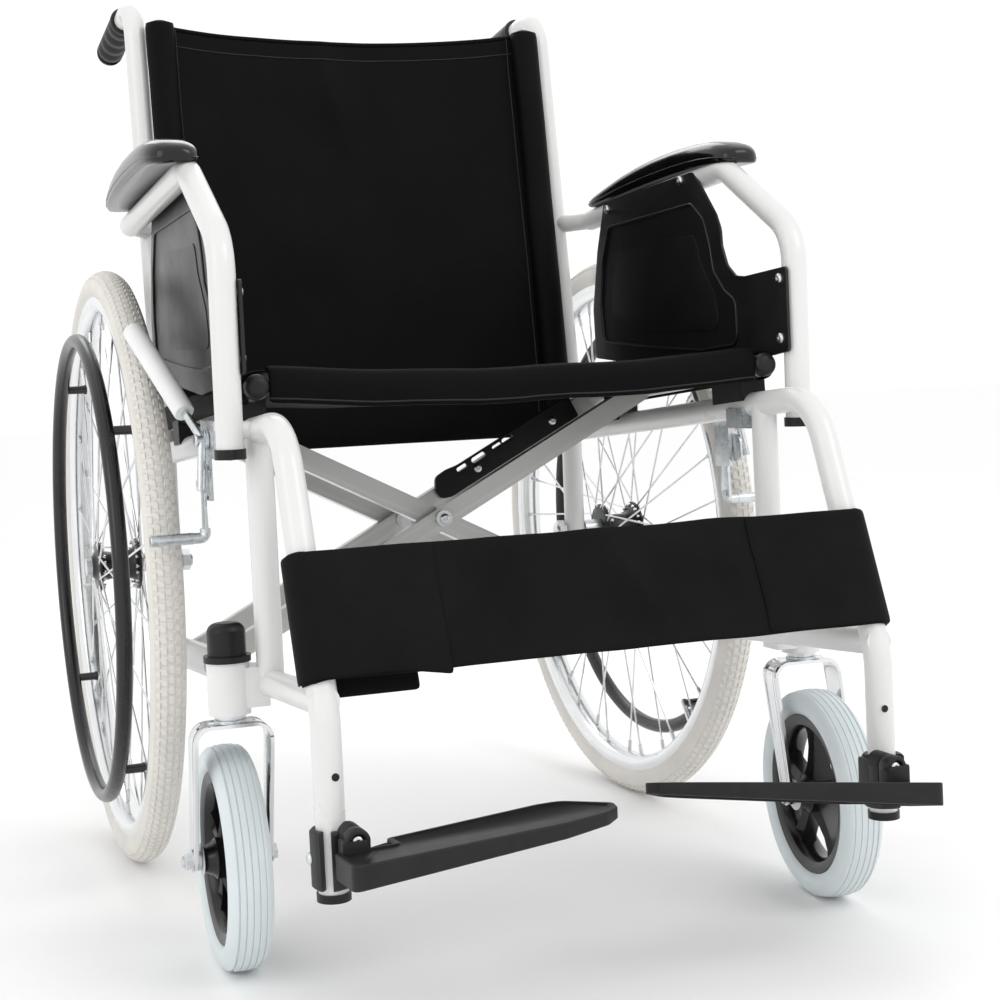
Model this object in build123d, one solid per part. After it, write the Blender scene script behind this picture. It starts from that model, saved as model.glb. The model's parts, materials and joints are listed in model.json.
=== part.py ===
"""Folding manual wheelchair, one STEP file per separate piece.

Units are millimetres. +Z is up, +Y is the back of the chair, -Y its front, and +X the
sitter's left. The origin is on the floor under the middle of the chair's bounding box.
Side pieces are built for the left side and mirrored for the right.
"""
import math
import os

from build123d import *

os.makedirs("parts", exist_ok=True)

# ---------------------------------------------------------------- overall layout
AXLE_Y = 188.5          # rear axle behind the origin
AXLE_Z = 300.0          # rear axle height, the rear wheel's radius
SIDE_X = 228.0          # side frame tube centre from the middle plane
SLOPE_DEG = 3.6         # rails rise this much towards the front
RAIL_Z0 = 208.0         # lower rail height at the rear axle
RAIL_GAP = 201.6        # lower rail to upper rail, square to both
SEAT_GAP = 235.4        # lower rail to seat rail, square to both
TUBE_R = 11.0           # frame tube
SEAT_R = 10.0           # seat rail tube
RUN = 0.06              # radial running clearance of pins and sleeves

# ---------------------------------------------------------------- side frame
POST_Y = 0.0
POST_BOTTOM_Z = 196.0
CANE_BEND_Y = -8.0
CANE_BEND_Z = 478.0
CANE_TOP_Y = 44.0
CANE_TOP_Z = 883.0
CANE_END_Y = 222.0
CANE_END_Z = 865.6
CANE_TOP_RADIUS = 38.0
GRIP_START_Y = 100.0
GRIP_END_Y = 228.0
GRIP_R = 15.5
LEG_BEND_Y = -519.0
LEG_BEND_Z = 442.6
LEG_BEND_RADIUS = 52.0
LEG_Y = -600.0
LEG_KNEE_Z = 237.0
LEG_KNEE_RADIUS = 80.0
LEG_BOTTOM_Z = 110.0
FRONT_POST_TOP_Y = -449.0
FRONT_POST_BOTTOM_Y = -437.0
PLUG_R = 12.5
PLUG_H = 6.0

# ---------------------------------------------------------------- armrest
ARM_X = 254.0
ARM_STUB_R = 9.5         # the short tube from the armrest's rear end to the cane
ARM_STUB_Z = 643.0
ARM_FRONT_Y = -450.0
ARM_BOTTOM_Z = 424.0
ARM_LOW_BEND = (-453.0, 586.0)
ARM_HIGH_BEND = (-336.0, 657.0)
ARM_REAR = (-28.0, 643.5)
ARM_LOW_RADIUS = 45.0
ARM_HIGH_RADIUS = 40.0
PAD_X0 = 240.6
PAD_X1 = 290.0
PAD_FRONT_Y = -352.0
PAD_REAR_Y = -38.0
SKIRT_X0 = 240.1
SKIRT_X1 = 243.0

# ---------------------------------------------------------------- casters
CASTER_X = 260.5
CASTER_Y = -427.0
HOUSING_R = 17.0
HOUSING_Z0 = 213.0
HOUSING_Z1 = 255.0
CASTER_R = 91.0
CASTER_W = 36.0
CASTER_TRAIL = 28.0
CASTER_CORE_R = 70.0
CASTER_TURN = {"r": -1.7, "l": 174.2}   # how far each caster stands swivelled
FORK_HALF = 32.0
FORK_T = 3.0
CASTER_PIN_R = 5.0

# ---------------------------------------------------------------- rear wheels
WHEEL_X = 282.0
TYRE_SECTION_R = 16.5
RIM_IN_R = 258.0
RIM_OUT_R = 272.0
RIM_HALF_W = 12.0
HUB_HALF = 22.0
HUB_FLANGE_R = 26.0
AXLE_R = 6.0
HANDRIM_R = 230.0
HANDRIM_TUBE_R = 7.5
HANDRIM_OFFSET = 30.0
STANDOFFS = 4
STANDOFF_TURN = 52.5     # angle of the first standoff, from the back of the wheel
SPOKES = 36

# ---------------------------------------------------------------- brakes
BRAKE_X = 254.0
LEVER_PIVOT = (-338.0, 430.0)
SHOE_PIVOT = (-322.0, 392.0)
LEVER_LENGTH = 155.0
LEVER_ANGLE = 41.8
LEVER_LEAN = 13.5        # outward, over the tyre
LEVER_SLEEVE_START = 36.0
LEVER_SLEEVE_R = 9.5
SHOE_DROP = 46.0
SHOE_R = 5.0

# ---------------------------------------------------------------- cross brace
FRONT_X_U = -205.0      # middle of the front cross, along the rails from the rear axle
REAR_X_U = -77.0
BAR_H = 20.0
BAR_D = 14.0
BAR_GAP = 1.5
SLEEVE_R = 14.5
SLEEVE_U0 = -232.0
SLEEVE_U1 = -48.0
SEAT_U0 = -452.0
SEAT_U1 = -62.0
CENTRE_PIN_R = 5.0

# ---------------------------------------------------------------- footplates
HINGE_X = 218.0
HINGE_Z = 152.0
PLATE_TOP_Z = 147.0
PLATE_FRONT_Y = -677.0
PLATE_OUT_X = 234.0
PLATE_T = 18.0
PLATE_TIP_X = 16.0
PLATE_TIP_T = 10.0
PLATE_NOSE_T = 6.0
PLATE_PITCH = {"r": 3.0, "l": 12.5}
PLATE_RISE = {"r": 1.5, "l": 7.1}
CLAMP_R = 15.5
LUG_FRONT = LEG_Y - 23.0
EAR_BACK = LUG_FRONT - 0.5
EAR_FRONT = EAR_BACK - 12.5
HINGE_PIN_R = 4.0
PIN_HEAD_R = 6.5

SLOPE = math.radians(SLOPE_DEG)
REST_ANGLE = math.degrees(math.atan2(SEAT_GAP, 2 * SIDE_X))


def along(u, w):
    """Y and Z, from the rear axle's Y, of a point u along the rails and w square above the lower rail."""
    y = u * math.cos(SLOPE) + w * math.sin(SLOPE)
    z = RAIL_Z0 - u * math.sin(SLOPE) + w * math.cos(SLOPE)
    return y, z


def tilt(shape):
    """Moves a shape built on level rails to the sloping rails."""
    return Pos(0, 0, RAIL_Z0) * Rot(-SLOPE_DEG, 0, 0) * shape


def bent_path(points, radii):
    """A wire through 3-D points with a bend of the given radius at each inner point."""
    pts = [Vector(*p) for p in points]
    edges = []
    start = pts[0]
    for i, radius in enumerate(radii, start=1):
        corner = pts[i]
        back = (pts[i - 1] - corner).normalized()
        ahead = (pts[i + 1] - corner).normalized()
        inner = math.acos(max(-1.0, min(1.0, back.dot(ahead))))
        reach = radius / math.tan(inner / 2)
        middle = corner + (back + ahead).normalized() * (radius / math.sin(inner / 2) - radius)
        first = corner + back * reach
        last = corner + ahead * reach
        edges.append(Edge.make_line(start, first))
        edges.append(Edge.make_three_point_arc(first, middle, last))
        start = last
    edges.append(Edge.make_line(start, pts[-1]))
    return Wire(edges)


def tube(points, radii, radius):
    """A round bar along a bent path."""
    path = bent_path(points, radii)
    section = Plane(origin=path @ 0, z_dir=path % 0) * Circle(radius)
    return sweep(section, path=path)


def rod(a, b, radius):
    """A round bar between two 3-D points."""
    start = Vector(*a)
    line = Vector(*b) - start
    return Plane(origin=start, z_dir=line) * Cylinder(radius, line.length, align=(Align.CENTER, Align.CENTER, Align.MIN))


def block(x0, x1, y0, y1, z0, z1):
    """A box between two corners."""
    return Pos((x0 + x1) / 2, (y0 + y1) / 2, (z0 + z1) / 2) * Box(x1 - x0, y1 - y0, z1 - z0)


def turned_x(points):
    """A solid of revolution about X from (x, radius) points."""
    return revolve(make_face(Polyline(*[(x, r, 0) for x, r in points], close=True)), axis=Axis.X)


def side_slab(points, x0, x1):
    """A plate with a (y, z) outline between two X planes."""
    face = make_face(Polyline(*[(x0, y, z) for y, z in points], close=True))
    return extrude(face, amount=x1 - x0, dir=(1, 0, 0))


def biggest(shape):
    """The largest solid of a cut, without its offcuts."""
    return shape.solids().sort_by(SortBy.VOLUME)[-1]


def save(name, shape):
    """Moves a piece from the rear axle's Y to the origin's and writes its STEP file."""
    export_step(Pos(0, AXLE_Y, 0) * shape, "parts/" + name + ".step")


def save_side(name, side, shape):
    """Writes a left piece, or its mirror image for the right."""
    save(side + "_" + name, shape if side == "l" else mirror(shape, about=Plane.YZ))


# ================================================================ side frame tubes
cane_points = [
    (SIDE_X, POST_Y, POST_BOTTOM_Z),
    (SIDE_X, CANE_BEND_Y, CANE_BEND_Z),
    (SIDE_X, CANE_TOP_Y, CANE_TOP_Z),
    (SIDE_X, CANE_END_Y, CANE_END_Z),
]
cane_solid = tube(cane_points, [120.0, CANE_TOP_RADIUS], TUBE_R)
axle_hole = rod((SIDE_X - 30, 0, AXLE_Z), (SIDE_X + 30, 0, AXLE_Z), AXLE_R)
cane = biggest(cane_solid - axle_hole)

rail_y, rail_z = along(0, RAIL_GAP)
rail = tube(
    [
        (SIDE_X, rail_y, rail_z),
        (SIDE_X, LEG_BEND_Y, LEG_BEND_Z),
        (SIDE_X, LEG_Y, LEG_KNEE_Z),
        (SIDE_X, LEG_Y, LEG_BOTTOM_Z),
    ],
    [LEG_BEND_RADIUS, LEG_KNEE_RADIUS],
    TUBE_R,
)
rail = biggest(rail - cane_solid)

lower_back = along(0, 0)
lower_front = along(LEG_Y - 4, 0)
post_low = along(FRONT_POST_BOTTOM_Y, 0)
post_high = along(FRONT_POST_TOP_Y, RAIL_GAP)
lower_rail = rod((SIDE_X, *lower_back), (SIDE_X, *lower_front), TUBE_R)
front_post = rod((SIDE_X, *post_low), (SIDE_X, *post_high), TUBE_R)
lower = biggest((lower_rail + front_post) - cane_solid - rail)

# ================================================================ armrest
armrest_tube = tube(
    [
        (ARM_X, ARM_FRONT_Y, ARM_BOTTOM_Z),
        (ARM_X, *ARM_LOW_BEND),
        (ARM_X, *ARM_HIGH_BEND),
        (ARM_X, *ARM_REAR),
    ],
    [ARM_LOW_RADIUS, ARM_HIGH_RADIUS],
    TUBE_R,
)
rear_stub = rod((ARM_X, *ARM_REAR), (SIDE_X, 17, ARM_STUB_Z), ARM_STUB_R) + Pos(ARM_X, *ARM_REAR) * Sphere(TUBE_R)
rear_stub = biggest(rear_stub - cane_solid)
front_spacer = rod((SIDE_X + 6, -448.5, 438.5), (ARM_X - 6, -448.5, 438.5), 7.0)
armrest = armrest_tube + rear_stub + (front_spacer - rail - lower)

pad_side = [
    (PAD_FRONT_Y, 661),
    (PAD_FRONT_Y, 669),
    (-346, 676),
    (-336, 682),
    (-312, 687),
    (-272, 690),
    (-218, 690),
    (-174, 687),
    (-130, 682.5),
    (-93, 676),
    (-58, 669),
    (PAD_REAR_Y, 664),
    (PAD_REAR_Y, 655),
    (-111, 657),
    (-227, 662),
    (-298, 663),
]
pad_plan = make_face(
    Spline(
        (PAD_X0, -298),
        (PAD_X0 + 6, -340),
        (PAD_X0 + 22, PAD_FRONT_Y),
        (PAD_X1 - 8, -330),
        (PAD_X1, -272),
        (PAD_X1, -165),
        (PAD_X1 - 5, -80),
        (PAD_X1 - 14, PAD_REAR_Y),
        tangents=((0, -1), (0, 1)),
    )
    + Line((PAD_X1 - 14, PAD_REAR_Y), (PAD_X0 + 4, PAD_REAR_Y))
    + Line((PAD_X0 + 4, PAD_REAR_Y), (PAD_X0, -100))
    + Line((PAD_X0, -100), (PAD_X0, -298))
)
pad_block = extrude(Pos(0, 0, 640) * pad_plan, amount=70)
arm_pad = (side_slab(pad_side, PAD_X0 - 2, PAD_X1 + 2) & pad_block) - armrest_tube

skirt = side_slab(
    [
        (-92, 655),
        (-70, 605),
        (-53, 543),
        (-55, 490),
        (-120, 484),
        (-200, 476),
        (-290, 468),
        (-380, 474),
        (-461, 482),
        (-461, 556),
        (-388, 553),
        (-371, 555),
        (-356, 566),
        (-347, 585),
        (-346, 600),
        (-338, 615),
        (-307, 649),
        (-292, 660),
    ],
    SKIRT_X0,
    SKIRT_X1,
)

# ================================================================ caster mount, plugs, grip, saddles
housing = rod((CASTER_X, CASTER_Y, HOUSING_Z0), (CASTER_X, CASTER_Y, HOUSING_Z1), HOUSING_R)
gusset = block(SIDE_X + 2, CASTER_X, CASTER_Y - 13, CASTER_Y + 13, 218, 250)
stem_hole = rod((CASTER_X, CASTER_Y, HOUSING_Z0 - 1), (CASTER_X, CASTER_Y, HOUSING_Z1 - 4), 6.0 + RUN)
caster_mount = (housing + (gusset - lower)) - stem_hole

cap = rod((CASTER_X, CASTER_Y, HOUSING_Z1), (CASTER_X, CASTER_Y, HOUSING_Z1 + 5), HOUSING_R + 2)
dome = rod((CASTER_X, CASTER_Y, HOUSING_Z1 + 5), (CASTER_X, CASTER_Y, HOUSING_Z1 + 31), 15.5)
dome = fillet(dome.edges().group_by(Axis.Z)[-1], 8.0)
leg_plug = rod((SIDE_X, LEG_Y, LEG_BOTTOM_Z), (SIDE_X, LEG_Y, LEG_BOTTOM_Z - PLUG_H), PLUG_R)
arm_drop = PLUG_H + 2
arm_lean = (ARM_FRONT_Y - ARM_LOW_BEND[0]) / (ARM_LOW_BEND[1] - ARM_BOTTOM_Z)
arm_plug = rod(
    (ARM_X, ARM_FRONT_Y, ARM_BOTTOM_Z),
    (ARM_X, ARM_FRONT_Y + arm_lean * arm_drop, ARM_BOTTOM_Z - arm_drop),
    PLUG_R,
)

grip_slope = (CANE_END_Z - CANE_TOP_Z) / (CANE_END_Y - CANE_TOP_Y)
grip = rod(
    (SIDE_X, GRIP_START_Y, CANE_TOP_Z + grip_slope * (GRIP_START_Y - CANE_TOP_Y)),
    (SIDE_X, GRIP_END_Y, CANE_TOP_Z + grip_slope * (GRIP_END_Y - CANE_TOP_Y)),
    GRIP_R,
)
grip = grip - cane_solid


def saddle(u0, u1):
    """A U-shaped cradle on the upper rail that the seat rail drops into."""
    body = block(SIDE_X - 11.8, SIDE_X + 11.8, u0, u1, RAIL_GAP + 4, SEAT_GAP + 3)
    body = body - rod((SIDE_X, u0 - 1, SEAT_GAP), (SIDE_X, u1 + 1, SEAT_GAP), SEAT_R + 0.4)
    body = body - block(SIDE_X - SEAT_R - 0.4, SIDE_X + SEAT_R + 0.4, u0 - 1, u1 + 1, SEAT_GAP, SEAT_GAP + 9)
    return tilt(body)


saddles = Compound([saddle(-433, -377) - rail, saddle(-168, -138) - rail])

# ================================================================ rear wheel
hub_at = Pos(WHEEL_X, 0, AXLE_Z)
rim = turned_x(
    [
        (-RIM_HALF_W + 4, RIM_IN_R),
        (RIM_HALF_W - 4, RIM_IN_R),
        (RIM_HALF_W, RIM_IN_R + 5),
        (RIM_HALF_W, RIM_OUT_R),
        (-RIM_HALF_W, RIM_OUT_R),
        (-RIM_HALF_W, RIM_IN_R + 5),
    ]
)
tyre_ring = Rot(0, 90, 0) * Torus(AXLE_Z - TYRE_SECTION_R, TYRE_SECTION_R)
tyre = tyre_ring - rim
hub = turned_x(
    [
        (-HUB_HALF, AXLE_R + RUN),
        (HUB_HALF + 4, AXLE_R + RUN),
        (HUB_HALF + 4, 12),
        (HUB_HALF, 17),
        (HUB_HALF - 1, HUB_FLANGE_R),
        (HUB_HALF - 4, HUB_FLANGE_R),
        (HUB_HALF - 7, 15),
        (7 - HUB_HALF, 15),
        (4 - HUB_HALF, HUB_FLANGE_R),
        (1 - HUB_HALF, HUB_FLANGE_R),
        (-HUB_HALF, 17),
    ]
)


def spoke(i):
    """One wire from just outside a hub flange to just inside the rim, crossing its neighbours."""
    face = 1 if i % 2 else -1
    lean = math.radians(38) * (1 if i % 4 < 2 else -1)
    a = 2 * math.pi * i / SPOKES
    start = (face * (HUB_HALF - 2.5), (HUB_FLANGE_R + 2) * math.cos(a + lean), (HUB_FLANGE_R + 2) * math.sin(a + lean))
    end = (face * 3.0, (RIM_IN_R - 1) * math.cos(a), (RIM_IN_R - 1) * math.sin(a))
    return rod(start, end, 1.1)


spokes = Compound([spoke(i) for i in range(SPOKES)])

handrim = Pos(HANDRIM_OFFSET, 0, 0) * Rot(0, 90, 0) * Torus(HANDRIM_R, HANDRIM_TUBE_R)
for i in range(STANDOFFS):
    a = math.radians(STANDOFF_TURN) + 2 * math.pi * i / STANDOFFS
    c, s = math.cos(a), math.sin(a)
    outer = (HANDRIM_OFFSET, HANDRIM_R * c, HANDRIM_R * s)
    foot = (RIM_HALF_W - 3, (RIM_IN_R + 8) * c, (RIM_IN_R + 8) * s)
    handrim = handrim + rod(outer, foot, 4.0)
handrim = biggest(handrim - rim - tyre_ring)

axle = rod((207, 0, AXLE_Z), (WHEEL_X + HUB_HALF + 10, 0, AXLE_Z), AXLE_R)
axle = axle + Pos(212, 0, AXLE_Z) * Rot(0, 90, 0) * extrude(RegularPolygon(11, 6), amount=4, both=True)
axle = axle + rod((SIDE_X + TUBE_R + 0.5, 0, AXLE_Z), (WHEEL_X - HUB_HALF - 0.5, 0, AXLE_Z), 9.5)
axle = axle + rod((WHEEL_X + HUB_HALF + 4.5, 0, AXLE_Z), (WHEEL_X + HUB_HALF + 10, 0, AXLE_Z), 9.0)

# ================================================================ brake
brake_bracket = block(SIDE_X - 13, 249, -420, -390, 417, 434)
brake_bracket = brake_bracket + block(246, 249, -420, -314, 414, 446)
brake_bracket = brake_bracket + block(246, 249, -336, -308, 378, 446)
brake_bracket = brake_bracket + rod((247, *LEVER_PIVOT), (261, *LEVER_PIVOT), 4.0)
brake_bracket = brake_bracket + rod((247, *SHOE_PIVOT), (257, *SHOE_PIVOT), 4.0)
brake_bracket = brake_bracket - rail - lower

lean, lift = math.radians(LEVER_LEAN), math.radians(LEVER_ANGLE)
lever_dir = (math.sin(lean), math.cos(lean) * math.cos(lift), math.cos(lean) * math.sin(lift))


def on_lever(d):
    """A point on the brake lever's centreline, d from its pivot."""
    return BRAKE_X + d * lever_dir[0], LEVER_PIVOT[0] + d * lever_dir[1], LEVER_PIVOT[1] + d * lever_dir[2]


lever = rod((249.6, *LEVER_PIVOT), (259, *LEVER_PIVOT), 9.0)
lever = lever + rod(on_lever(5), on_lever(LEVER_LENGTH - 6), 4.0)
lever = lever - rod((247, *LEVER_PIVOT), (263, *LEVER_PIVOT), 4.0 + RUN)
sleeve = rod(on_lever(LEVER_SLEEVE_START), on_lever(LEVER_LENGTH), LEVER_SLEEVE_R) - lever

shoe_y = SHOE_PIVOT[0] + 4
shoe_z = SHOE_PIVOT[1] - SHOE_DROP
shoe = rod((249.6, *SHOE_PIVOT), (253.6, *SHOE_PIVOT), 9.0)
shoe = shoe + block(249.6, 253.6, SHOE_PIVOT[0] - 6, shoe_y + 4, shoe_z, SHOE_PIVOT[1])
shoe = shoe + rod((249.6, shoe_y, shoe_z), (299, shoe_y, shoe_z), SHOE_R)
shoe = shoe - rod((247, *SHOE_PIVOT), (263, *SHOE_PIVOT), 4.0 + RUN)

# ================================================================ footplate clamp
clamp = Pos(SIDE_X, LEG_Y, 114) * extrude(Circle(CLAMP_R), amount=42)
clamp = clamp - block(SIDE_X + 3.5, SIDE_X + 10, LEG_Y - 20, LEG_Y - 3, 110, 160)
clamp = clamp + block(HINGE_X - 9, HINGE_X + 6, LUG_FRONT, LEG_Y - 6, 128, HINGE_Z)
clamp = clamp + rod((HINGE_X, LUG_FRONT, HINGE_Z), (HINGE_X, LEG_Y - 6, HINGE_Z), 9.0)
clamp = clamp - rail
clamp = clamp + rod((HINGE_X, EAR_FRONT - 3, HINGE_Z), (HINGE_X, LEG_Y - 13, HINGE_Z), HINGE_PIN_R)
clamp = clamp + rod((HINGE_X, EAR_FRONT - 4.5, HINGE_Z), (HINGE_X, EAR_FRONT - 0.5, HINGE_Z), PIN_HEAD_R)


def footplate(side):
    """A flat plate with a tapered inner end, hung on the clamp's pin by one ear."""
    pitch = math.radians(PLATE_PITCH[side])
    outline = [
        (PLATE_OUT_X, PLATE_FRONT_Y),
        (68, -653),
        (30, -641),
        (PLATE_TIP_X + 2, -628),
        (PLATE_TIP_X, -613),
        (42, -576),
        (62, -576),
        (190, -606),
        (190, LUG_FRONT - 3),
        (PLATE_OUT_X, LUG_FRONT - 3),
    ]
    blank = extrude(Pos(0, 0, -60) * make_face(Polyline(*outline, close=True)), amount=160)
    flat = block(-20, 260, -20, 160, -PLATE_T, 0)
    top = Pos(PLATE_OUT_X, PLATE_FRONT_Y, PLATE_TOP_Z) * Rot(-math.degrees(pitch), 0, 0)
    top = top * Rot(0, PLATE_RISE[side], 0)
    plate = (Pos(0, 0, 100) * blank) & (top * mirror(flat, about=Plane.YZ))
    under = [
        (-30, -200),
        (PLATE_OUT_X, -200),
        (PLATE_OUT_X, -PLATE_T),
        (PLATE_TIP_X + 9, -PLATE_TIP_T),
        (PLATE_TIP_X, -PLATE_NOSE_T),
        (-30, -PLATE_NOSE_T),
    ]
    wedge = make_face(Polyline(*[(x - PLATE_OUT_X, -200, z) for x, z in under], close=True))
    plate = plate - top * extrude(wedge, amount=400, dir=(0, 1, 0))
    ear_z = PLATE_TOP_Z - (EAR_BACK - PLATE_FRONT_Y) * math.tan(pitch) - 6
    ear = block(HINGE_X - 9, HINGE_X + 12, EAR_FRONT, EAR_BACK, ear_z, HINGE_Z)
    ear = ear + rod((HINGE_X, EAR_FRONT, HINGE_Z), (HINGE_X, EAR_BACK, HINGE_Z), 9.0)
    plate = plate + ear
    plate = plate - rod((HINGE_X, LEG_Y - 80, HINGE_Z), (HINGE_X, EAR_FRONT, HINGE_Z), PIN_HEAD_R + 0.8)
    return plate - rod((HINGE_X, LEG_Y - 80, HINGE_Z), (HINGE_X, LEG_Y - 10, HINGE_Z), HINGE_PIN_R + RUN)


# ================================================================ caster
caster_crown = block(-FORK_HALF, FORK_HALF, -13, 13, 203, 207)
caster_crown = fillet(caster_crown.edges().filter_by(Axis.Y), 1.5)
fork = caster_crown + rod((0, 0, 205), (0, 0, 212.5), 13.0)
fork = fork + rod((0, 0, 210), (0, 0, HOUSING_Z1 - 5), 6.0)
leg = side_slab(
    [(-13, 205), (13, 205), (CASTER_TRAIL + 10, CASTER_R), (CASTER_TRAIL - 10, CASTER_R)],
    FORK_HALF - FORK_T,
    FORK_HALF,
)
leg = leg + rod((FORK_HALF - FORK_T, CASTER_TRAIL, CASTER_R), (FORK_HALF, CASTER_TRAIL, CASTER_R), 10.0)
fork = fork + leg + mirror(leg, about=Plane.YZ)
fork = fork + rod((-FORK_HALF - 9, CASTER_TRAIL, CASTER_R), (FORK_HALF + 5, CASTER_TRAIL, CASTER_R), CASTER_PIN_R)
fork = fork + rod((FORK_HALF - 0.5, CASTER_TRAIL, CASTER_R), (FORK_HALF + 5, CASTER_TRAIL, CASTER_R), 8.5)
fork = fork + rod((-FORK_HALF - 6, CASTER_TRAIL, CASTER_R), (0.5 - FORK_HALF, CASTER_TRAIL, CASTER_R), 8.5)

half = CASTER_W / 2
caster_tyre = turned_x(
    [
        (-half + 5, CASTER_CORE_R),
        (half - 5, CASTER_CORE_R),
        (half, CASTER_CORE_R + 7),
        (half - 1, CASTER_R - 8),
        (half - 7, CASTER_R - 2),
        (6, CASTER_R),
        (-6, CASTER_R),
        (7 - half, CASTER_R - 2),
        (1 - half, CASTER_R - 8),
        (-half, CASTER_CORE_R + 7),
    ]
)
core_ring = turned_x([(-13, 60), (13, 60), (13, CASTER_CORE_R), (-13, CASTER_CORE_R)])
core_hub = turned_x([(-24, CASTER_PIN_R + RUN), (24, CASTER_PIN_R + RUN), (24, 10), (15, 16), (-15, 16), (-24, 10)])
caster_core = core_ring + core_hub
for i in range(5):
    blade = block(-5, 5, -8, 8, 14, 62)
    caster_core = caster_core + Rot(72 * i, 0, 0) * blade


def at_caster(shape, side, on_wheel=False):
    """Stands a caster piece under its own side's housing, turned as it rests."""
    if on_wheel:
        shape = Pos(0, CASTER_TRAIL, CASTER_R) * shape
    x = CASTER_X if side == "l" else -CASTER_X
    return Pos(x, CASTER_Y, 0) * Rot(0, 0, CASTER_TURN[side]) * shape


# ================================================================ write the side pieces
for side in ("r", "l"):
    save_side("cane", side, cane)
    save_side("rail", side, rail)
    save_side("lower_frame", side, lower)
    save_side("armrest", side, armrest)
    save_side("arm_pad", side, arm_pad)
    save_side("skirt_panel", side, skirt)
    save_side("caster_mount", side, caster_mount)
    save_side("plugs", side, Compound([cap + dome, leg_plug, arm_plug]))
    save_side("push_grip", side, grip)
    save_side("seat_saddles", side, saddles)
    save_side("wheel_tyre", side, hub_at * tyre)
    save_side("wheel_rim", side, hub_at * rim)
    save_side("wheel_spokes", side, hub_at * spokes)
    save_side("wheel_hub", side, hub_at * hub)
    save_side("handrim", side, hub_at * handrim)
    save_side("axle", side, axle)
    save_side("brake_bracket", side, brake_bracket)
    save_side("brake_lever", side, lever)
    save_side("brake_sleeve", side, sleeve)
    save_side("brake_shoe", side, shoe)
    save_side("footplate_clamp", side, clamp)
    save_side("footplate", side, footplate(side))
    save(side + "_caster_fork", at_caster(fork, side))
    save(side + "_caster_tyre", at_caster(caster_tyre, side, True))
    save(side + "_caster_core", at_caster(caster_core, side, True))

# ================================================================ cross brace
lift = math.radians(REST_ANGLE)


def bar(u0, u1):
    """A flat bar from the right lower rail up to the left seat rail."""
    length = 2 * SIDE_X / math.cos(lift)
    flat = block(-length / 2, length / 2, u0, u1, -BAR_H / 2, BAR_H / 2)
    return Pos(0, 0, SEAT_GAP / 2) * Rot(0, -REST_ANGLE, 0) * flat


def frame_x(front, rear, pin_clearance):
    """Two bars welded to a sleeve round the right lower rail and to the left seat rail."""
    shape = bar(*front) + bar(*rear)
    shape = shape - block(SIDE_X, SIDE_X + 60, -500, 0, 0, 400)
    shape = shape + rod((-SIDE_X, SLEEVE_U0, 0), (-SIDE_X, SLEEVE_U1, 0), SLEEVE_R)
    shape = shape - rod((-SIDE_X, SLEEVE_U0 - 9, 0), (-SIDE_X, SLEEVE_U1 + 9, 0), TUBE_R + RUN)
    shape = shape - block(-SIDE_X - 60, -SIDE_X - SLEEVE_R, -500, 0, -60, 60)
    shape = shape + rod((SIDE_X, SEAT_U0, SEAT_GAP), (SIDE_X, SEAT_U1, SEAT_GAP), SEAT_R)
    return shape - rod((0, -300, SEAT_GAP / 2), (0, 0, SEAT_GAP / 2), CENTRE_PIN_R + pin_clearance)


near_front = (FRONT_X_U - BAR_GAP / 2 - BAR_D, FRONT_X_U - BAR_GAP / 2)
far_front = (FRONT_X_U + BAR_GAP / 2, FRONT_X_U + BAR_GAP / 2 + BAR_D)
near_rear = (REAR_X_U - BAR_GAP / 2 - BAR_D, REAR_X_U - BAR_GAP / 2)
far_rear = (REAR_X_U + BAR_GAP / 2, REAR_X_U + BAR_GAP / 2 + BAR_D)
cross_b = frame_x(near_front, near_rear, 0.0)
cross_a = mirror(frame_x(far_front, far_rear, RUN), about=Plane.YZ)
save("cross_b", tilt(cross_b))
save("cross_a", tilt(cross_a))


def centre_pin(front_u, rear_u):
    """The bolt through one crossing, with its head and nut."""
    middle = SEAT_GAP / 2
    pin = rod((0, front_u - 7, middle), (0, rear_u + 7, middle), CENTRE_PIN_R)
    pin = pin + rod((0, front_u - 6, middle), (0, front_u, middle), 8.0)
    return pin + rod((0, rear_u + 0.5, middle), (0, rear_u + 7, middle), 8.0)


save(
    "cross_pivots",
    tilt(Compound([centre_pin(near_front[0], far_front[1]), centre_pin(near_rear[0], far_rear[1])])),
)


def end_caps(x):
    """A ball-nosed cap at the front of a seat rail and a flat one at its back."""
    front = rod((x, SEAT_U0 - 10, SEAT_GAP), (x, SEAT_U0, SEAT_GAP), SEAT_R + 0.5)
    front = fillet(front.edges().group_by(Axis.Y)[0], 7.0)
    back = rod((x, SEAT_U1, SEAT_GAP), (x, SEAT_U1 + 4, SEAT_GAP), SEAT_R + 0.3)
    return tilt(Compound([front, back]))


save("seat_caps_b", end_caps(SIDE_X))
save("seat_caps_a", end_caps(-SIDE_X))

LINK_T = 5.0
link = block(42, 226, near_rear[0] - LINK_T, near_rear[0], -1, 15)
for d in (62, 84, 106, 196):
    slot = block(d - 5, d + 5, near_rear[0] - LINK_T - 1, near_rear[0] + 1, 4, 10)
    link = link - slot
link = Pos(0, 0, SEAT_GAP / 2) * Rot(0, -REST_ANGLE, 0) * link
save("brace_link", tilt(link))

# ================================================================ upholstery
SEAT_T = 5.0
seat = block(-SIDE_X - 3, SIDE_X + 3, -447, -68, SEAT_GAP + SEAT_R + 0.4, SEAT_GAP + SEAT_R + 0.4 + SEAT_T)
seat = seat + block(-216.5, 216.5, -456, -440, SEAT_GAP - 10, SEAT_GAP + SEAT_R + 0.4 + SEAT_T)
save("seat_sling", tilt(seat))

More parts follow.
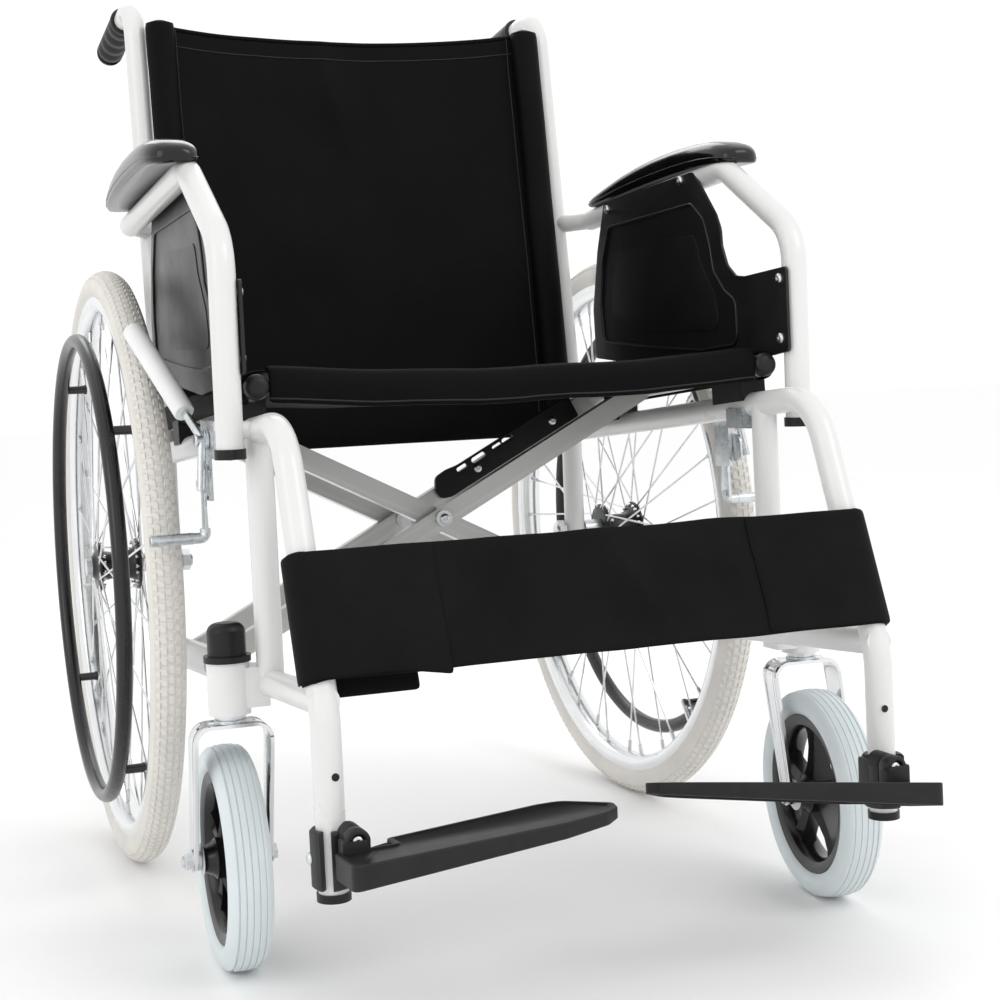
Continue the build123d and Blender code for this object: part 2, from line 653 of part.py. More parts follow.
lean = (CANE_TOP_Y - CANE_BEND_Y) / (CANE_TOP_Z - CANE_BEND_Z)
BACK_TOP_Z = 862.0
BACK_LOW_Z = 407.0
BACK_T = 12.0
back_line = [
    (CANE_BEND_Y - 8, BACK_LOW_Z),
    (CANE_BEND_Y - 8, CANE_BEND_Z),
    (CANE_BEND_Y - 8 + lean * (BACK_TOP_Z - CANE_BEND_Z), BACK_TOP_Z),
]
back_face = [(y - BACK_T / 2, z) for y, z in back_line] + [(y + BACK_T / 2, z) for y, z in reversed(back_line)]
save("back_sling", side_slab(back_face, -SIDE_X + TUBE_R + 0.5, SIDE_X - TUBE_R - 0.5))

leg_run = math.hypot(LEG_Y - LEG_BEND_Y, LEG_KNEE_Z - LEG_BEND_Z)
leg_y = (LEG_Y - LEG_BEND_Y) / leg_run
leg_z = (LEG_KNEE_Z - LEG_BEND_Z) / leg_run
STRAP_H = 98.0
STRAP_T = 3.0
STRAP_MID_Z = 301.0
strap_mid_y = LEG_BEND_Y + (STRAP_MID_Z - LEG_BEND_Z) / leg_z * leg_y


def by_leg(d, out):
    """A (y, z) point d down the leg tube from the strap's middle and out in front of its centreline."""
    return strap_mid_y + d * leg_y + out * leg_z, STRAP_MID_Z + d * leg_z - out * leg_y


strap_in = TUBE_R + 0.5
strap_face = [
    by_leg(-STRAP_H / 2, strap_in),
    by_leg(STRAP_H / 2, strap_in),
    by_leg(STRAP_H / 2, strap_in + STRAP_T),
    by_leg(-STRAP_H / 2, strap_in + STRAP_T),
]
save("calf_strap", side_slab(strap_face, -SIDE_X - 12, SIDE_X + 12))
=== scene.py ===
"""The look of a folding manual wheelchair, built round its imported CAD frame.

Lengths are millimetres until a mesh is made. X is the sitter's left, -Y the front, Z up, and Y is
measured from the rear axle. Left and right pieces share one shape: SIDES gives the sign of X.
"""
import json
import math
from math import cos, pi, radians, sin

import bmesh
import bpy
import numpy as np
from mathutils import Matrix, Vector, noise


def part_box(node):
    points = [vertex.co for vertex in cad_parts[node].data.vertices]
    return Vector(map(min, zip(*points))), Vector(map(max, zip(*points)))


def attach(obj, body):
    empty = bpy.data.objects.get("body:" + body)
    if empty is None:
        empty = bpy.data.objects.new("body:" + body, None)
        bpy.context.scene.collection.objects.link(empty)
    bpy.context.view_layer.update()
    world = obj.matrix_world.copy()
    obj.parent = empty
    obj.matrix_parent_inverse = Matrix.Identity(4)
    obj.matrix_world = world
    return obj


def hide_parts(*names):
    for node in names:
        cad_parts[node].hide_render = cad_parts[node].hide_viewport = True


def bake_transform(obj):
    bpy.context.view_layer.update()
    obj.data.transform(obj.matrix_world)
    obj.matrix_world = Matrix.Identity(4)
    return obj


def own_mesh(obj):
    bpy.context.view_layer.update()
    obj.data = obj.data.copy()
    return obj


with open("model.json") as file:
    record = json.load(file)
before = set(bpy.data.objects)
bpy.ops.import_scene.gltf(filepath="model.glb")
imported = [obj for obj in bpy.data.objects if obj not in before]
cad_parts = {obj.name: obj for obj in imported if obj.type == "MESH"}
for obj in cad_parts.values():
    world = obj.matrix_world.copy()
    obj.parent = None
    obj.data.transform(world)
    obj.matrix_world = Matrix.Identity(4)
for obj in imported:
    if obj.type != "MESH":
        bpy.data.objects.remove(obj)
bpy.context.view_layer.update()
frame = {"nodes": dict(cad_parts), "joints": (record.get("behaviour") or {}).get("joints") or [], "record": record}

# ---------------------------------------------------------------- sizes, read from the frame
MM = 0.001
SIDES = {"r": -1, "l": 1}


def centre_of(node):
    low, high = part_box(node)
    return (low + high) / 2


AXLE_Y = centre_of("l_wheel_tyre").y
AXLE_Z = centre_of("l_wheel_tyre").z / MM
WHEEL_X = centre_of("l_wheel_tyre").x / MM
SIDE_X = centre_of("l_rail").x / MM
CASTER_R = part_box("l_caster_tyre")[1].z / MM / 2
SLOPE = radians(3.6)
SLOPE_COS, SLOPE_SIN = cos(SLOPE), sin(SLOPE)
RAIL_Z0 = 208.0
SEAT_GAP = 235.4
REST_ANGLE = math.atan2(SEAT_GAP, 2 * SIDE_X)
LEG_Y = -600.0
TUBE_R = 11.0


def along(u, w):
    """Y and Z of a point u along the sloping rails and w square above the lower one."""
    return u * SLOPE_COS + w * SLOPE_SIN, RAIL_Z0 - u * SLOPE_SIN + w * SLOPE_COS


# ================================================================ materials
THREADS = 260.0


def _node(tree, kind, **values):
    node = tree.nodes.new(kind)
    for key, value in values.items():
        if key in node.inputs:
            node.inputs[key].default_value = value
        else:
            setattr(node, key, value)
    return node


def _rgba(colour, gain=1.0):
    return (*(min(1.0, c * gain) for c in colour), 1.0)


def finish(name, colour, roughness, vary, spots, grain, bump, metallic=0.0, depth=0.0002, rough_vary=0.08,
           specular=0.5, coat=0.0, edge=None, weave=None, stretch=(1, 1, 1)):
    """A procedural finish, its colour and roughness varied in soft patches, with fine grain or a weave on it.

    vary is how far the colour moves, spots and grain are how fine the patches and the grain are, and bump
    is how strongly the grain stands out. weave names the two axes that its threads cross. edge is a lighter
    colour put on sharp edges: a painted highlight.
    """
    mat = bpy.data.materials.new(name)
    mat.use_nodes = True
    tree = mat.node_tree
    link = tree.links.new
    shader = tree.nodes["Principled BSDF"]
    shader.inputs["Metallic"].default_value = metallic
    shader.inputs["Specular IOR Level"].default_value = specular
    shader.inputs["Coat Weight"].default_value = coat
    shader.inputs["Coat Roughness"].default_value = 0.12
    place = _node(tree, "ShaderNodeTexCoord")
    scale = _node(tree, "ShaderNodeMapping")
    scale.inputs["Scale"].default_value = stretch
    link(place.outputs["Object"], scale.inputs["Vector"])

    patches = _node(tree, "ShaderNodeTexNoise", Scale=spots, Detail=4.0, Roughness=0.6)
    link(scale.outputs["Vector"], patches.inputs["Vector"])
    tone = _node(tree, "ShaderNodeValToRGB")
    tone.color_ramp.elements[0].position = 0.3
    tone.color_ramp.elements[1].position = 0.7
    tone.color_ramp.elements[0].color = _rgba(colour, 1 - vary)
    tone.color_ramp.elements[1].color = _rgba(colour, 1 + vary)
    link(patches.outputs["Fac"], tone.inputs["Fac"])
    base = tone.outputs["Color"]
    # A lighter colour mixed onto sharp edges by pointiness: a painted highlight.
    if edge:
        highlight_pointiness = _node(tree, "ShaderNodeNewGeometry")
        rim = _node(tree, "ShaderNodeValToRGB")
        rim.color_ramp.elements[0].position = 0.52
        rim.color_ramp.elements[1].position = 0.62
        link(highlight_pointiness.outputs["Pointiness"], rim.inputs["Fac"])
        mix = _node(tree, "ShaderNodeMix", data_type="RGBA")
        link(rim.outputs["Color"], mix.inputs["Factor"])
        link(base, mix.inputs["A"])
        mix.inputs["B"].default_value = _rgba(edge)
        base = mix.outputs["Result"]
    link(base, shader.inputs["Base Color"])

    rough = _node(tree, "ShaderNodeMapRange")
    rough.inputs["To Min"].default_value = max(0.02, roughness - rough_vary)
    rough.inputs["To Max"].default_value = min(1.0, roughness + rough_vary)
    link(patches.outputs["Fac"], rough.inputs["Value"])
    link(rough.outputs["Result"], shader.inputs["Roughness"])

    fine = _node(tree, "ShaderNodeTexNoise", Scale=grain, Detail=3.0, Roughness=0.55)
    link(scale.outputs["Vector"], fine.inputs["Vector"])
    height = fine.outputs["Fac"]
    if weave:
        threads = []
        for axis in weave:
            wave = _node(tree, "ShaderNodeTexWave", bands_direction=axis, Scale=THREADS, Distortion=0.6,
                         Detail=1.0)
            link(place.outputs["Object"], wave.inputs["Vector"])
            threads.append(wave.outputs["Fac"])
        cross = _node(tree, "ShaderNodeMath", operation="MULTIPLY")
        link(threads[0], cross.inputs[0])
        link(threads[1], cross.inputs[1])
        both = _node(tree, "ShaderNodeMath", operation="ADD")
        link(cross.outputs[0], both.inputs[0])
        link(height, both.inputs[1])
        height = both.outputs[0]
    lift = _node(tree, "ShaderNodeBump", Strength=bump, Distance=depth)
    link(height, lift.inputs["Height"])
    link(lift.outputs["Normal"], shader.inputs["Normal"])
    return mat


# Where a finish is given edge=, that colour is a painted highlight along its sharp edges.
M = {
    "frame_paint": finish("powder_coat_white", (0.70, 0.70, 0.69), 0.30, 0.015, 9, 1400, 0.06, coat=0.25,
        edge=(0.73, 0.73, 0.72)),
    "arm_pad_black": finish("moulded_pad", (0.003, 0.003, 0.0033), 0.16, 0.25, 25, 1200, 0.04,
        rough_vary=0.04, specular=0.45),
    "skirt_black": finish("side_panel_plastic", (0.006, 0.006, 0.0065), 0.36, 0.25, 30, 700, 0.15,
        depth=0.0003, specular=0.40),
    "cap_black": finish("cap_plastic", (0.007, 0.007, 0.007), 0.38, 0.3, 60, 1500, 0.15, specular=0.3),
    "grip_rubber": finish("grip_rubber", (0.006, 0.006, 0.006), 0.46, 0.3, 60, 1800, 0.25, depth=0.0003,
        specular=0.3, edge=(0.03, 0.03, 0.03)),
    "saddle_black": finish("saddle_plastic", (0.006, 0.006, 0.006), 0.45, 0.3, 60, 1500, 0.2, specular=0.3),
    "rear_tyre_grey": finish("rear_tyre_rubber", (0.70, 0.675, 0.635), 0.70, 0.05, 22, 1100, 0.25,
        depth=0.0004, specular=0.25, edge=(0.78, 0.76, 0.72)),
    "rim_silver": finish("rim_alloy", (0.80, 0.81, 0.82), 0.24, 0.05, 40, 500, 0.06, metallic=0.9,
        stretch=(14, 1, 1)),
    "spoke_steel": finish("spoke_steel", (0.72, 0.73, 0.74), 0.24, 0.08, 90, 900, 0.05, metallic=1.0),
    "hub_black": finish("hub_plastic", (0.008, 0.008, 0.0085), 0.28, 0.3, 50, 1400, 0.15, specular=0.4),
    "handrim_black": finish("handrim_vinyl", (0.006, 0.006, 0.0065), 0.26, 0.3, 40, 1600, 0.06,
        specular=0.5),
    "zinc_steel": finish("zinc_plate", (0.66, 0.68, 0.69), 0.30, 0.12, 120, 900, 0.15, metallic=1.0),
    "brake_zinc": finish("brake_zinc_plate", (0.64, 0.67, 0.69), 0.28, 0.14, 120, 900, 0.15, metallic=1.0),
    "sleeve_white": finish("sleeve_vinyl", (0.80, 0.81, 0.80), 0.36, 0.03, 30, 1500, 0.1),
    "footplate_black": finish("footplate_plastic", (0.009, 0.009, 0.0095), 0.46, 0.3, 45, 650, 0.35,
        depth=0.0004, specular=0.28, edge=(0.028, 0.028, 0.03)),
    "fork_chrome": finish("fork_chrome", (0.72, 0.73, 0.74), 0.10, 0.03, 30, 500, 0.02, metallic=1.0,
        rough_vary=0.04),
    "caster_tyre_grey": finish("caster_tyre_rubber", (0.66, 0.715, 0.73), 0.50, 0.03, 25, 1300, 0.15,
        specular=0.35),
    "core_black": finish("caster_core_plastic", (0.005, 0.005, 0.005), 0.24, 0.3, 50, 1200, 0.08,
        specular=0.42),
    "brace_grey": finish("brace_paint", (0.50, 0.50, 0.48), 0.32, 0.05, 14, 1400, 0.12, metallic=0.35,
        coat=0.15, edge=(0.62, 0.62, 0.61)),
    "link_black": finish("link_paint", (0.004, 0.004, 0.004), 0.38, 0.3, 60, 1400, 0.15, specular=0.25),
    "seat_fabric": finish("seat_nylon", (0.0030, 0.0030, 0.0032), 0.60, 0.30, 14, 420, 0.35, depth=0.0006,
        specular=0.07, weave="XY"),
    "back_fabric": finish("back_nylon", (0.0030, 0.0030, 0.0033), 0.52, 0.35, 10, 420, 0.35, depth=0.0006,
        specular=0.07, weave="XZ"),
    "strap_fabric": finish("strap_nylon", (0.0058, 0.0058, 0.0064), 0.62, 0.30, 14, 420, 0.40, depth=0.0006,
        specular=0.07, weave="XZ"),
    "core_ring": finish("core_ring_plastic", (0.016, 0.016, 0.0165), 0.34, 0.12, 40, 900, 0.2),
    "bearing_pale": finish("bearing_cover", (0.55, 0.56, 0.57), 0.35, 0.05, 60, 900, 0.05, metallic=0.3),
    "thread": finish("seam_thread", (0.008, 0.008, 0.0085), 0.7, 0.2, 400, 2500, 0.5),
}

for slot_name, mat in list(M.items()):
    for item in frame["record"]["subparts"]:
        if item["material_slot"] == slot_name:
            data = frame["nodes"][item["node"]].data
            data.materials.clear()
            data.materials.append(mat)


# ================================================================ mesh making
def grid_faces(rows, columns, wrap_rows=False, wrap_columns=False):
    """Quads over a rows x columns lattice of points."""
    faces = []
    for i in range(rows if wrap_rows else rows - 1):
        a, b = i * columns, (i + 1) % rows * columns
        for j in range(columns if wrap_columns else columns - 1):
            k = (j + 1) % columns
            faces.append((a + j, a + k, b + k, b + j))
    return faces


def closed_faces(rows, sides):
    """Quads round a closed section at each of the rows, with a cap at both ends."""
    last = (rows - 1) * sides
    return grid_faces(rows, sides, False, True) + [tuple(range(sides)), tuple(range(last, last + sides))]


def piece(name, parts, slot, body, stands_for=(), sign=1, crease=35.0, look=None):
    """One object from (points, faces) parts in millimetres; sign -1 mirrors it to the right side.

    It has its slot's finish, unless look names another one.
    """
    points, faces = [], []
    for part_points, part_faces in parts:
        base = len(points)
        points.extend(tuple(p) for p in part_points)
        faces.extend(tuple(base + k for k in f) for f in part_faces)
    flipped = [(sign * x * MM, AXLE_Y + y * MM, z * MM) for x, y, z in points]
    mesh = bpy.data.meshes.new(name)
    mesh.from_pydata(flipped, [], faces)
    work = bmesh.new()
    work.from_mesh(mesh)
    bmesh.ops.recalc_face_normals(work, faces=work.faces)
    work.to_mesh(mesh)
    work.free()
    mesh.shade_smooth()
    mesh.set_sharp_from_angle(angle=radians(crease))
    obj = bpy.data.objects.new(name, mesh)
    bpy.context.scene.collection.objects.link(obj)
    mesh.materials.append(M[look or slot])
    if body:
        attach(obj, body)
    if stands_for:
        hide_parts(*stands_for)
    return obj


def sided(side, name, parts, slot, body, node=None, crease=35.0, look=None, at=None):
    """One side's piece for its own node: parts mirrored to that side, or placed there by the matrix at."""
    if at:
        parts = [placed(part, at) for part in parts]
    stands_for = [side + "_" + node] if node else ()
    return piece(side + "_" + name, parts, slot, body, stands_for, 1 if at else SIDES[side], crease, look)


def placed(part, matrix):
    """A part moved by a 4x4 matrix, in millimetres."""
    points, faces = part
    return [tuple(matrix @ Vector(p)) for p in points], faces


def ring(profile, segments, centre):
    """A closed (x, r) profile turned round the X axis through centre."""
    points = []
    for i in range(segments):
        a = radians(360.0 * i / segments)
        for x, r in profile:
            points.append((centre[0] + x, centre[1] + r * cos(a), centre[2] + r * sin(a)))
    return points, grid_faces(segments, len(profile), True, True)


def frames_along(points):
    """Two directions square to a polyline at each of its points, without twist."""
    pts = [Vector(p) for p in points]
    tangents = []
    for i in range(len(pts)):
        tangents.append((pts[min(i + 1, len(pts) - 1)] - pts[max(i - 1, 0)]).normalized())
    side = tangents[0].orthogonal().normalized()
    out = []
    for t in tangents:
        side = (side - t * side.dot(t)).normalized()
        out.append((side.copy(), t.cross(side)))
    return out


def tube(points, radius, sides=16, caps=True):
    """A round tube along points; radius is one number or one for each point."""
    radii = radius if hasattr(radius, "__len__") else [radius] * len(points)
    verts = []
    for p, (a, b), r in zip(points, frames_along(points), radii):
        for k in range(sides):
            t = 2 * pi * k / sides
            verts.append(tuple(Vector(p) + a * (r * cos(t)) + b * (r * sin(t))))
    if caps:
        return verts, closed_faces(len(points), sides)
    return verts, grid_faces(len(points), sides, False, True)


def rounded(corners, radius, steps=6):
    """A polyline with its inner corners rounded."""
    pts = [Vector(p) for p in corners]
    radii = radius if hasattr(radius, "__len__") else [radius] * (len(pts) - 2)
    out = [pts[0]]
    for i, r in enumerate(radii, start=1):
        back, ahead = (pts[i - 1] - pts[i]).normalized(), (pts[i + 1] - pts[i]).normalized()
        inner = math.acos(max(-1, min(1, back.dot(ahead))))
        reach = r / math.tan(inner / 2)
        middle = pts[i] + (back + ahead).normalized() * (r / sin(inner / 2))
        first, last = pts[i] + back * reach - middle, pts[i] + ahead * reach - middle
        angle = first.angle(last)
        for k in range(steps + 1):
            t = k / steps
            arm = (first * sin((1 - t) * angle) + last * sin(t * angle)) / sin(angle)
            out.append(middle + arm)
    out.append(pts[-1])
    return out


def disc(centre, axis, radii_and_offsets, sides=24):
    """A turned piece along axis from (radius, offset) pairs, closed at both ends."""
    axis = Vector(axis).normalized()
    a = axis.orthogonal().normalized()
    b = axis.cross(a)
    verts = []
    for r, d in radii_and_offsets:
        for k in range(sides):
            t = 2 * pi * k / sides
            verts.append(tuple(Vector(centre) + axis * d + a * (r * cos(t)) + b * (r * sin(t))))
    return verts, closed_faces(len(radii_and_offsets), sides)


def hex_bolt(centre, axis, size, height):
    """A hexagon head on its washer."""
    washer = disc(centre, axis, [(size * 0.8, 0), (size * 0.8, 0.9), (size * 0.74, 1.1)])
    head = disc(centre, axis, [(size * 0.5774, 1.1), (size * 0.5774, height - 0.7), (size * 0.49, height)], 6)
    return [washer, head]


def pan_bolt(centre, axis, radius, height):
    """A domed screw head with a dimple."""
    ring_points = [(radius, 0), (radius, height * 0.35), (radius * 0.86, height * 0.75),
                   (radius * 0.55, height), (radius * 0.42, height), (radius * 0.38, height * 0.55)]
    return [disc(centre, axis, ring_points)]


def box_part(x0, x1, y0, y1, z0, z1, bevel=0.8):
    """A block with bevelled edges, as points and faces."""
    work = bmesh.new()
    bmesh.ops.create_cube(work, size=1.0)
    for v in work.verts:
        v.co = Vector(((x0 + x1) / 2 + v.co.x * (x1 - x0), (y0 + y1) / 2 + v.co.y * (y1 - y0),
                       (z0 + z1) / 2 + v.co.z * (z1 - z0)))
    bmesh.ops.bevel(work, geom=work.edges, offset=bevel, segments=2, affect="EDGES", profile=0.7)
    points = [tuple(v.co) for v in work.verts]
    faces = [tuple(v.index for v in f.verts) for f in work.faces]
    work.free()
    return points, faces


def slab(outline, x0, x1, bevel=0.8):
    """A plate with a (y, z) outline between two X planes, its rims bevelled."""
    work = bmesh.new()
    low = [work.verts.new((x0, y, z)) for y, z in outline]
    high = [work.verts.new((x1, y, z)) for y, z in outline]
    faces = [work.faces.new(low[::-1]), work.faces.new(high)]
    n = len(outline)
    for i in range(n):
        work.faces.new((low[i], low[(i + 1) % n], high[(i + 1) % n], high[i]))
    bmesh.ops.recalc_face_normals(work, faces=work.faces)
    rims = [e for f in faces for e in f.edges]
    bmesh.ops.bevel(work, geom=rims, offset=bevel, segments=2, affect="EDGES", profile=0.7)
    work.verts.index_update()
    points = [tuple(v.co) for v in work.verts]
    out = [tuple(v.index for v in f.verts) for f in work.faces]
    work.free()
    return points, out


def round_corners(points, radii, steps=5):
    """A closed 2-D polygon with each corner rounded by its own radius."""
    n = len(points)
    out = []
    for i in range(n):
        p, a, b = Vector(points[i]), Vector(points[i - 1]), Vector(points[(i + 1) % n])
        r = radii[i] if hasattr(radii, "__len__") else radii
        back, ahead = (a - p).normalized(), (b - p).normalized()
        inner = math.acos(max(-1, min(1, back.dot(ahead))))
        if r <= 0 or inner > radians(175):
            out.append(tuple(p))
            continue
        reach = min(r / math.tan(inner / 2), 0.48 * min((a - p).length, (b - p).length))
        first, last = p + back * reach, p + ahead * reach
        for k in range(steps + 1):
            t = k / steps
            out.append(tuple(first * (1 - t) ** 2 + p * (2 * t * (1 - t)) + last * t * t))
    return out


# ================================================================ rear wheels
TYRE_SECTION_R = 16.5
TREAD_DEPTH = 1.3
BLOCKS = 190
SPOKES = 36
STEPS_PER_BLOCK = 8


def rear_tyre():
    """A solid tyre: a round section with a centre band of moulded blocks and two more on each side."""
    rows = [(-54, -36, 2), (-31, -13, 6), (-8, 8, 2), (13, 31, 6), (36, 54, 2)]
    angles = {-134.0, -118.0, -100.0, -85.0, -70.0, -60.0, 60.0, 70.0, 85.0, 100.0, 118.0, 134.0}
    for a, b, _ in rows:
        angles |= {a, a + 1.2, (a + b) / 2, b - 1.2, b}
    angles = sorted(angles)
    count = BLOCKS * STEPS_PER_BLOCK
    step = np.arange(count)
    around = 2 * np.pi * step / count
    points = np.zeros((count, len(angles), 3))
    for j, phi in enumerate(angles):
        radius = np.full(count, TYRE_SECTION_R - (TREAD_DEPTH if abs(phi) < 56 else TREAD_DEPTH * 0.5))
        for a, b, shift in rows:
            if a < phi < b:
                slant = int(round(abs(phi) / 14)) if abs(phi) > 12 else 0
                on = (step + shift + slant) % STEPS_PER_BLOCK < 5
                radius = np.where(on, TYRE_SECTION_R, radius)
        t = radians(phi)
        r = AXLE_Z - TYRE_SECTION_R + radius * cos(t)
        points[:, j, 0] = WHEEL_X + radius * sin(t)
        points[:, j, 1] = r * np.cos(around)
        points[:, j, 2] = AXLE_Z + r * np.sin(around)
    return points.reshape(-1, 3), grid_faces(count, len(angles), True, True)


def rear_rim():
    """A box-section rim with rolled edges that hold the tyre."""
    profile = [(-12.6, 274.5), (-13.4, 272.5), (-13.4, 267), (-12.6, 263.5), (-9.5, 260.5), (-6, 258.6),
               (0, 258.1), (6, 258.6), (9.5, 260.5), (12.6, 263.5), (13.4, 267), (13.4, 272.5),
               (12.6, 274.5), (11.6, 272.5), (10.5, 271), (-10.5, 271), (-11.6, 272.5)]
    return ring(profile, 144, (WHEEL_X, 0, AXLE_Z))


def spokes_and_nipples():
    """Thirty-six crossed spokes, hooked through the hub flanges, each with its nipple at the rim."""
    wires, nipples = [], []
    for i in range(SPOKES):
        face = 1 if i % 2 else -1
        lean = radians(38) * (1 if i % 4 < 2 else -1)
        a = 2 * pi * i / SPOKES
        c, s = cos(a), sin(a)

        def polar(x, r, t):
            return Vector((WHEEL_X + x, r * cos(t), AXLE_Z + r * sin(t)))

        hook = polar(face * 16.5, 23.4, a + lean)
        elbow = polar(face * 21.6, 23.6, a + lean)
        seat = polar(face * 3.0, 259.0, a)
        run = (seat - elbow).normalized()
        wires.append(tube([hook, elbow, elbow + run * 3, seat - run * 6], 1.05, 8))
        nipples.append(tube([seat - run * 13, seat - run * 12.4, seat - run * 1], [1.5, 2.1, 2.3], 8))
        wires.append(tube([hook + Vector((-face * 1.6, 0, 0)), hook], [1.6, 1.9], 8))
    return wires, nipples


def hub():
    """A dark hub shell with two drilled flanges and a bearing cap."""
    profile = [(-22, 6.2), (26, 6.2), (26, 11), (24.5, 12.2), (23, 15), (22, 17.5), (21.4, 25), (20.6, 26),
               (18.8, 26), (18, 25), (17, 18), (14, 15.2), (6, 13.6), (-6, 13.6), (-14, 15.2), (-17, 18),
               (-18, 25), (-18.8, 26), (-20.6, 26), (-21.4, 25), (-22, 17.5)]
    return ring(profile, 72, (WHEEL_X, 0, AXLE_Z))


HANDRIM_X, HANDRIM_R, HANDRIM_TUBE = WHEEL_X + 30.0, 230.0, 7.5
STANDOFFS, STANDOFF_TURN = 4, radians(52.5)


def standoff_angles():
    return [STANDOFF_TURN + 2 * pi * i / STANDOFFS for i in range(STANDOFFS)]


def handrim_parts():
    """The ring and the pegs that carry it, each running straight in to its bracket."""
    profile = [(HANDRIM_TUBE * cos(radians(t)),
                HANDRIM_R + HANDRIM_TUBE * sin(radians(t))) for t in range(0, 360, 15)]
    parts = [ring(profile, 180, (HANDRIM_X, 0, AXLE_Z))]
    for a in standoff_angles():
        peg = (WHEEL_X + 3, HANDRIM_R * cos(a), AXLE_Z + HANDRIM_R * sin(a))
        parts.append(disc(peg, (1, 0, 0), [(3.0, 0), (5.2, 0.8), (5.2, 3.0), (4.4, 4.2), (4.2, 27)], 24))
    return parts


def standoff_brackets():
    """Small steel angles that hold the pegs to the rim's bed."""
    parts = []
    for a in standoff_angles():
        c, s = cos(a), sin(a)
        path = [(WHEEL_X + 4, (HANDRIM_R - 3) * c, AXLE_Z + (HANDRIM_R - 3) * s),
                (WHEEL_X + 4, 261 * c, AXLE_Z + 261 * s)]
        parts.append(tube(path, 3.0, 12))
    return parts


tyre_part, rim_part, hub_part = rear_tyre(), rear_rim(), hub()
wire_parts, nipple_parts = spokes_and_nipples()
for side in SIDES:
    wheel = "wheel_" + side
    sided(side, "tyre_tread", [tyre_part], "rear_tyre_grey", wheel, "wheel_tyre", crease=28)
    sided(side, "rim_section", [rim_part], "rim_silver", wheel, "wheel_rim")
    sided(side, "spoke_wires", wire_parts, "spoke_steel", wheel, "wheel_spokes")
    sided(side, "spoke_nipples", nipple_parts, "zinc_steel", wheel)
    sided(side, "hub_shell", [hub_part], "hub_black", wheel, "wheel_hub")
    sided(side, "handrim_ring", handrim_parts(), "handrim_black", wheel, "handrim")
    sided(side, "standoff_brackets", standoff_brackets(), "rim_silver", wheel)

# ================================================================ casters
CASTER_TRAIL = 28.0
CASTER_HUB = (CASTER_TRAIL, CASTER_R)
FORK_SECTION = [(-1.0, -1.6), (-1.0, 1.2), (-0.86, 2.0), (-0.62, 2.0), (-0.52, 1.3), (-0.2, 1.3), (0.2, 1.3),
                (0.52, 1.3), (0.62, 2.0), (0.86, 2.0), (1.0, 1.2), (1.0, -1.6), (0.9, -1.9), (-0.9, -1.9)]


def caster_matrix(side):
    """The caster's own frame: X along its axle, Y the way it trails, origin on the floor under the stem."""
    low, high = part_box(side + "_caster_mount")
    stem_x = (high.x if side == "l" else low.x) / MM - SIDES[side] * 17.0
    stem_y = ((low.y + high.y) / 2 - AXLE_Y) / MM
    joint = next(j for j in frame["joints"] if j["name"] == "caster_spin_" + side)
    turn = math.atan2(joint["axis"][1], joint["axis"][0])
    return Matrix.Translation((stem_x, stem_y, 0)) @ Matrix.Rotation(turn, 4, "Z")


def caster_tyre():
    """A smooth-shouldered tyre with fine grooves round its tread."""
    shoulder = [(12.6, 69.4), (15.5, 71.2), (17.4, 74.5), (18, 78.5), (17.6, 82), (16.2, 85.4), (13.8, 88.2)]
    tread = []
    for k in range(5):
        x = 10.6 - k * 5.3
        crown = 91 - (x / 10.6) ** 2 * 1.5
        tread += [(x + 1.5, crown - 0.05), (x + 0.55, crown), (x + 0.28, crown - 0.9),
                  (x - 0.28, crown - 0.9), (x - 0.55, crown), (x - 1.5, crown)]
    profile = shoulder + tread + [(-x, r) for x, r in reversed(shoulder)] + [(-12.0, 69.0), (12.0, 69.0)]
    return ring(profile, 120, (0, *CASTER_HUB))


def caster_core():
    """The dark wheel: a rim band, a hub and five broad twin-ribbed spokes."""
    band = ring([(-13, 70.2), (13, 70.2), (14.2, 69), (13.6, 66), (12.8, 61.5), (11.8, 60.2), (-11.8, 60.2),
                 (-12.8, 61.5), (-13.6, 66), (-14.2, 69)], 96, (0, *CASTER_HUB))
    inner = [ring([(-11.8, 60.4), (11.8, 60.4), (8, 57.4), (2.5, 56.4), (-2.5, 56.4), (-8, 57.4)], 96,
                  (0, *CASTER_HUB))]
    inner.append(ring([(-24, 5.3), (24, 5.3), (24, 9.4), (22.6, 10.4), (16, 13.5), (13.5, 16.5),
                       (-13.5, 16.5), (-16, 13.5), (-22.6, 10.4), (-24, 9.4)], 48, (0, *CASTER_HUB)))
    for i in range(5):
        blade = []
        for r, half, thick in ((14, 9.0, 10.5), (24, 7.0, 7.8), (40, 6.0, 6.4), (52, 6.8, 6.8),
                               (59, 9.5, 8.0)):
            blade += [(-thick, -half, r), (-thick * 0.45, 0, r), (-thick, half, r), (thick, half, r),
                      (thick * 0.45, 0, r), (thick, -half, r)]
        turn = Matrix.Translation((0, *CASTER_HUB)) @ Matrix.Rotation(2 * pi * i / 5, 4, "X")
        inner.append(placed((blade, closed_faces(5, 6)), turn))
    return band, inner


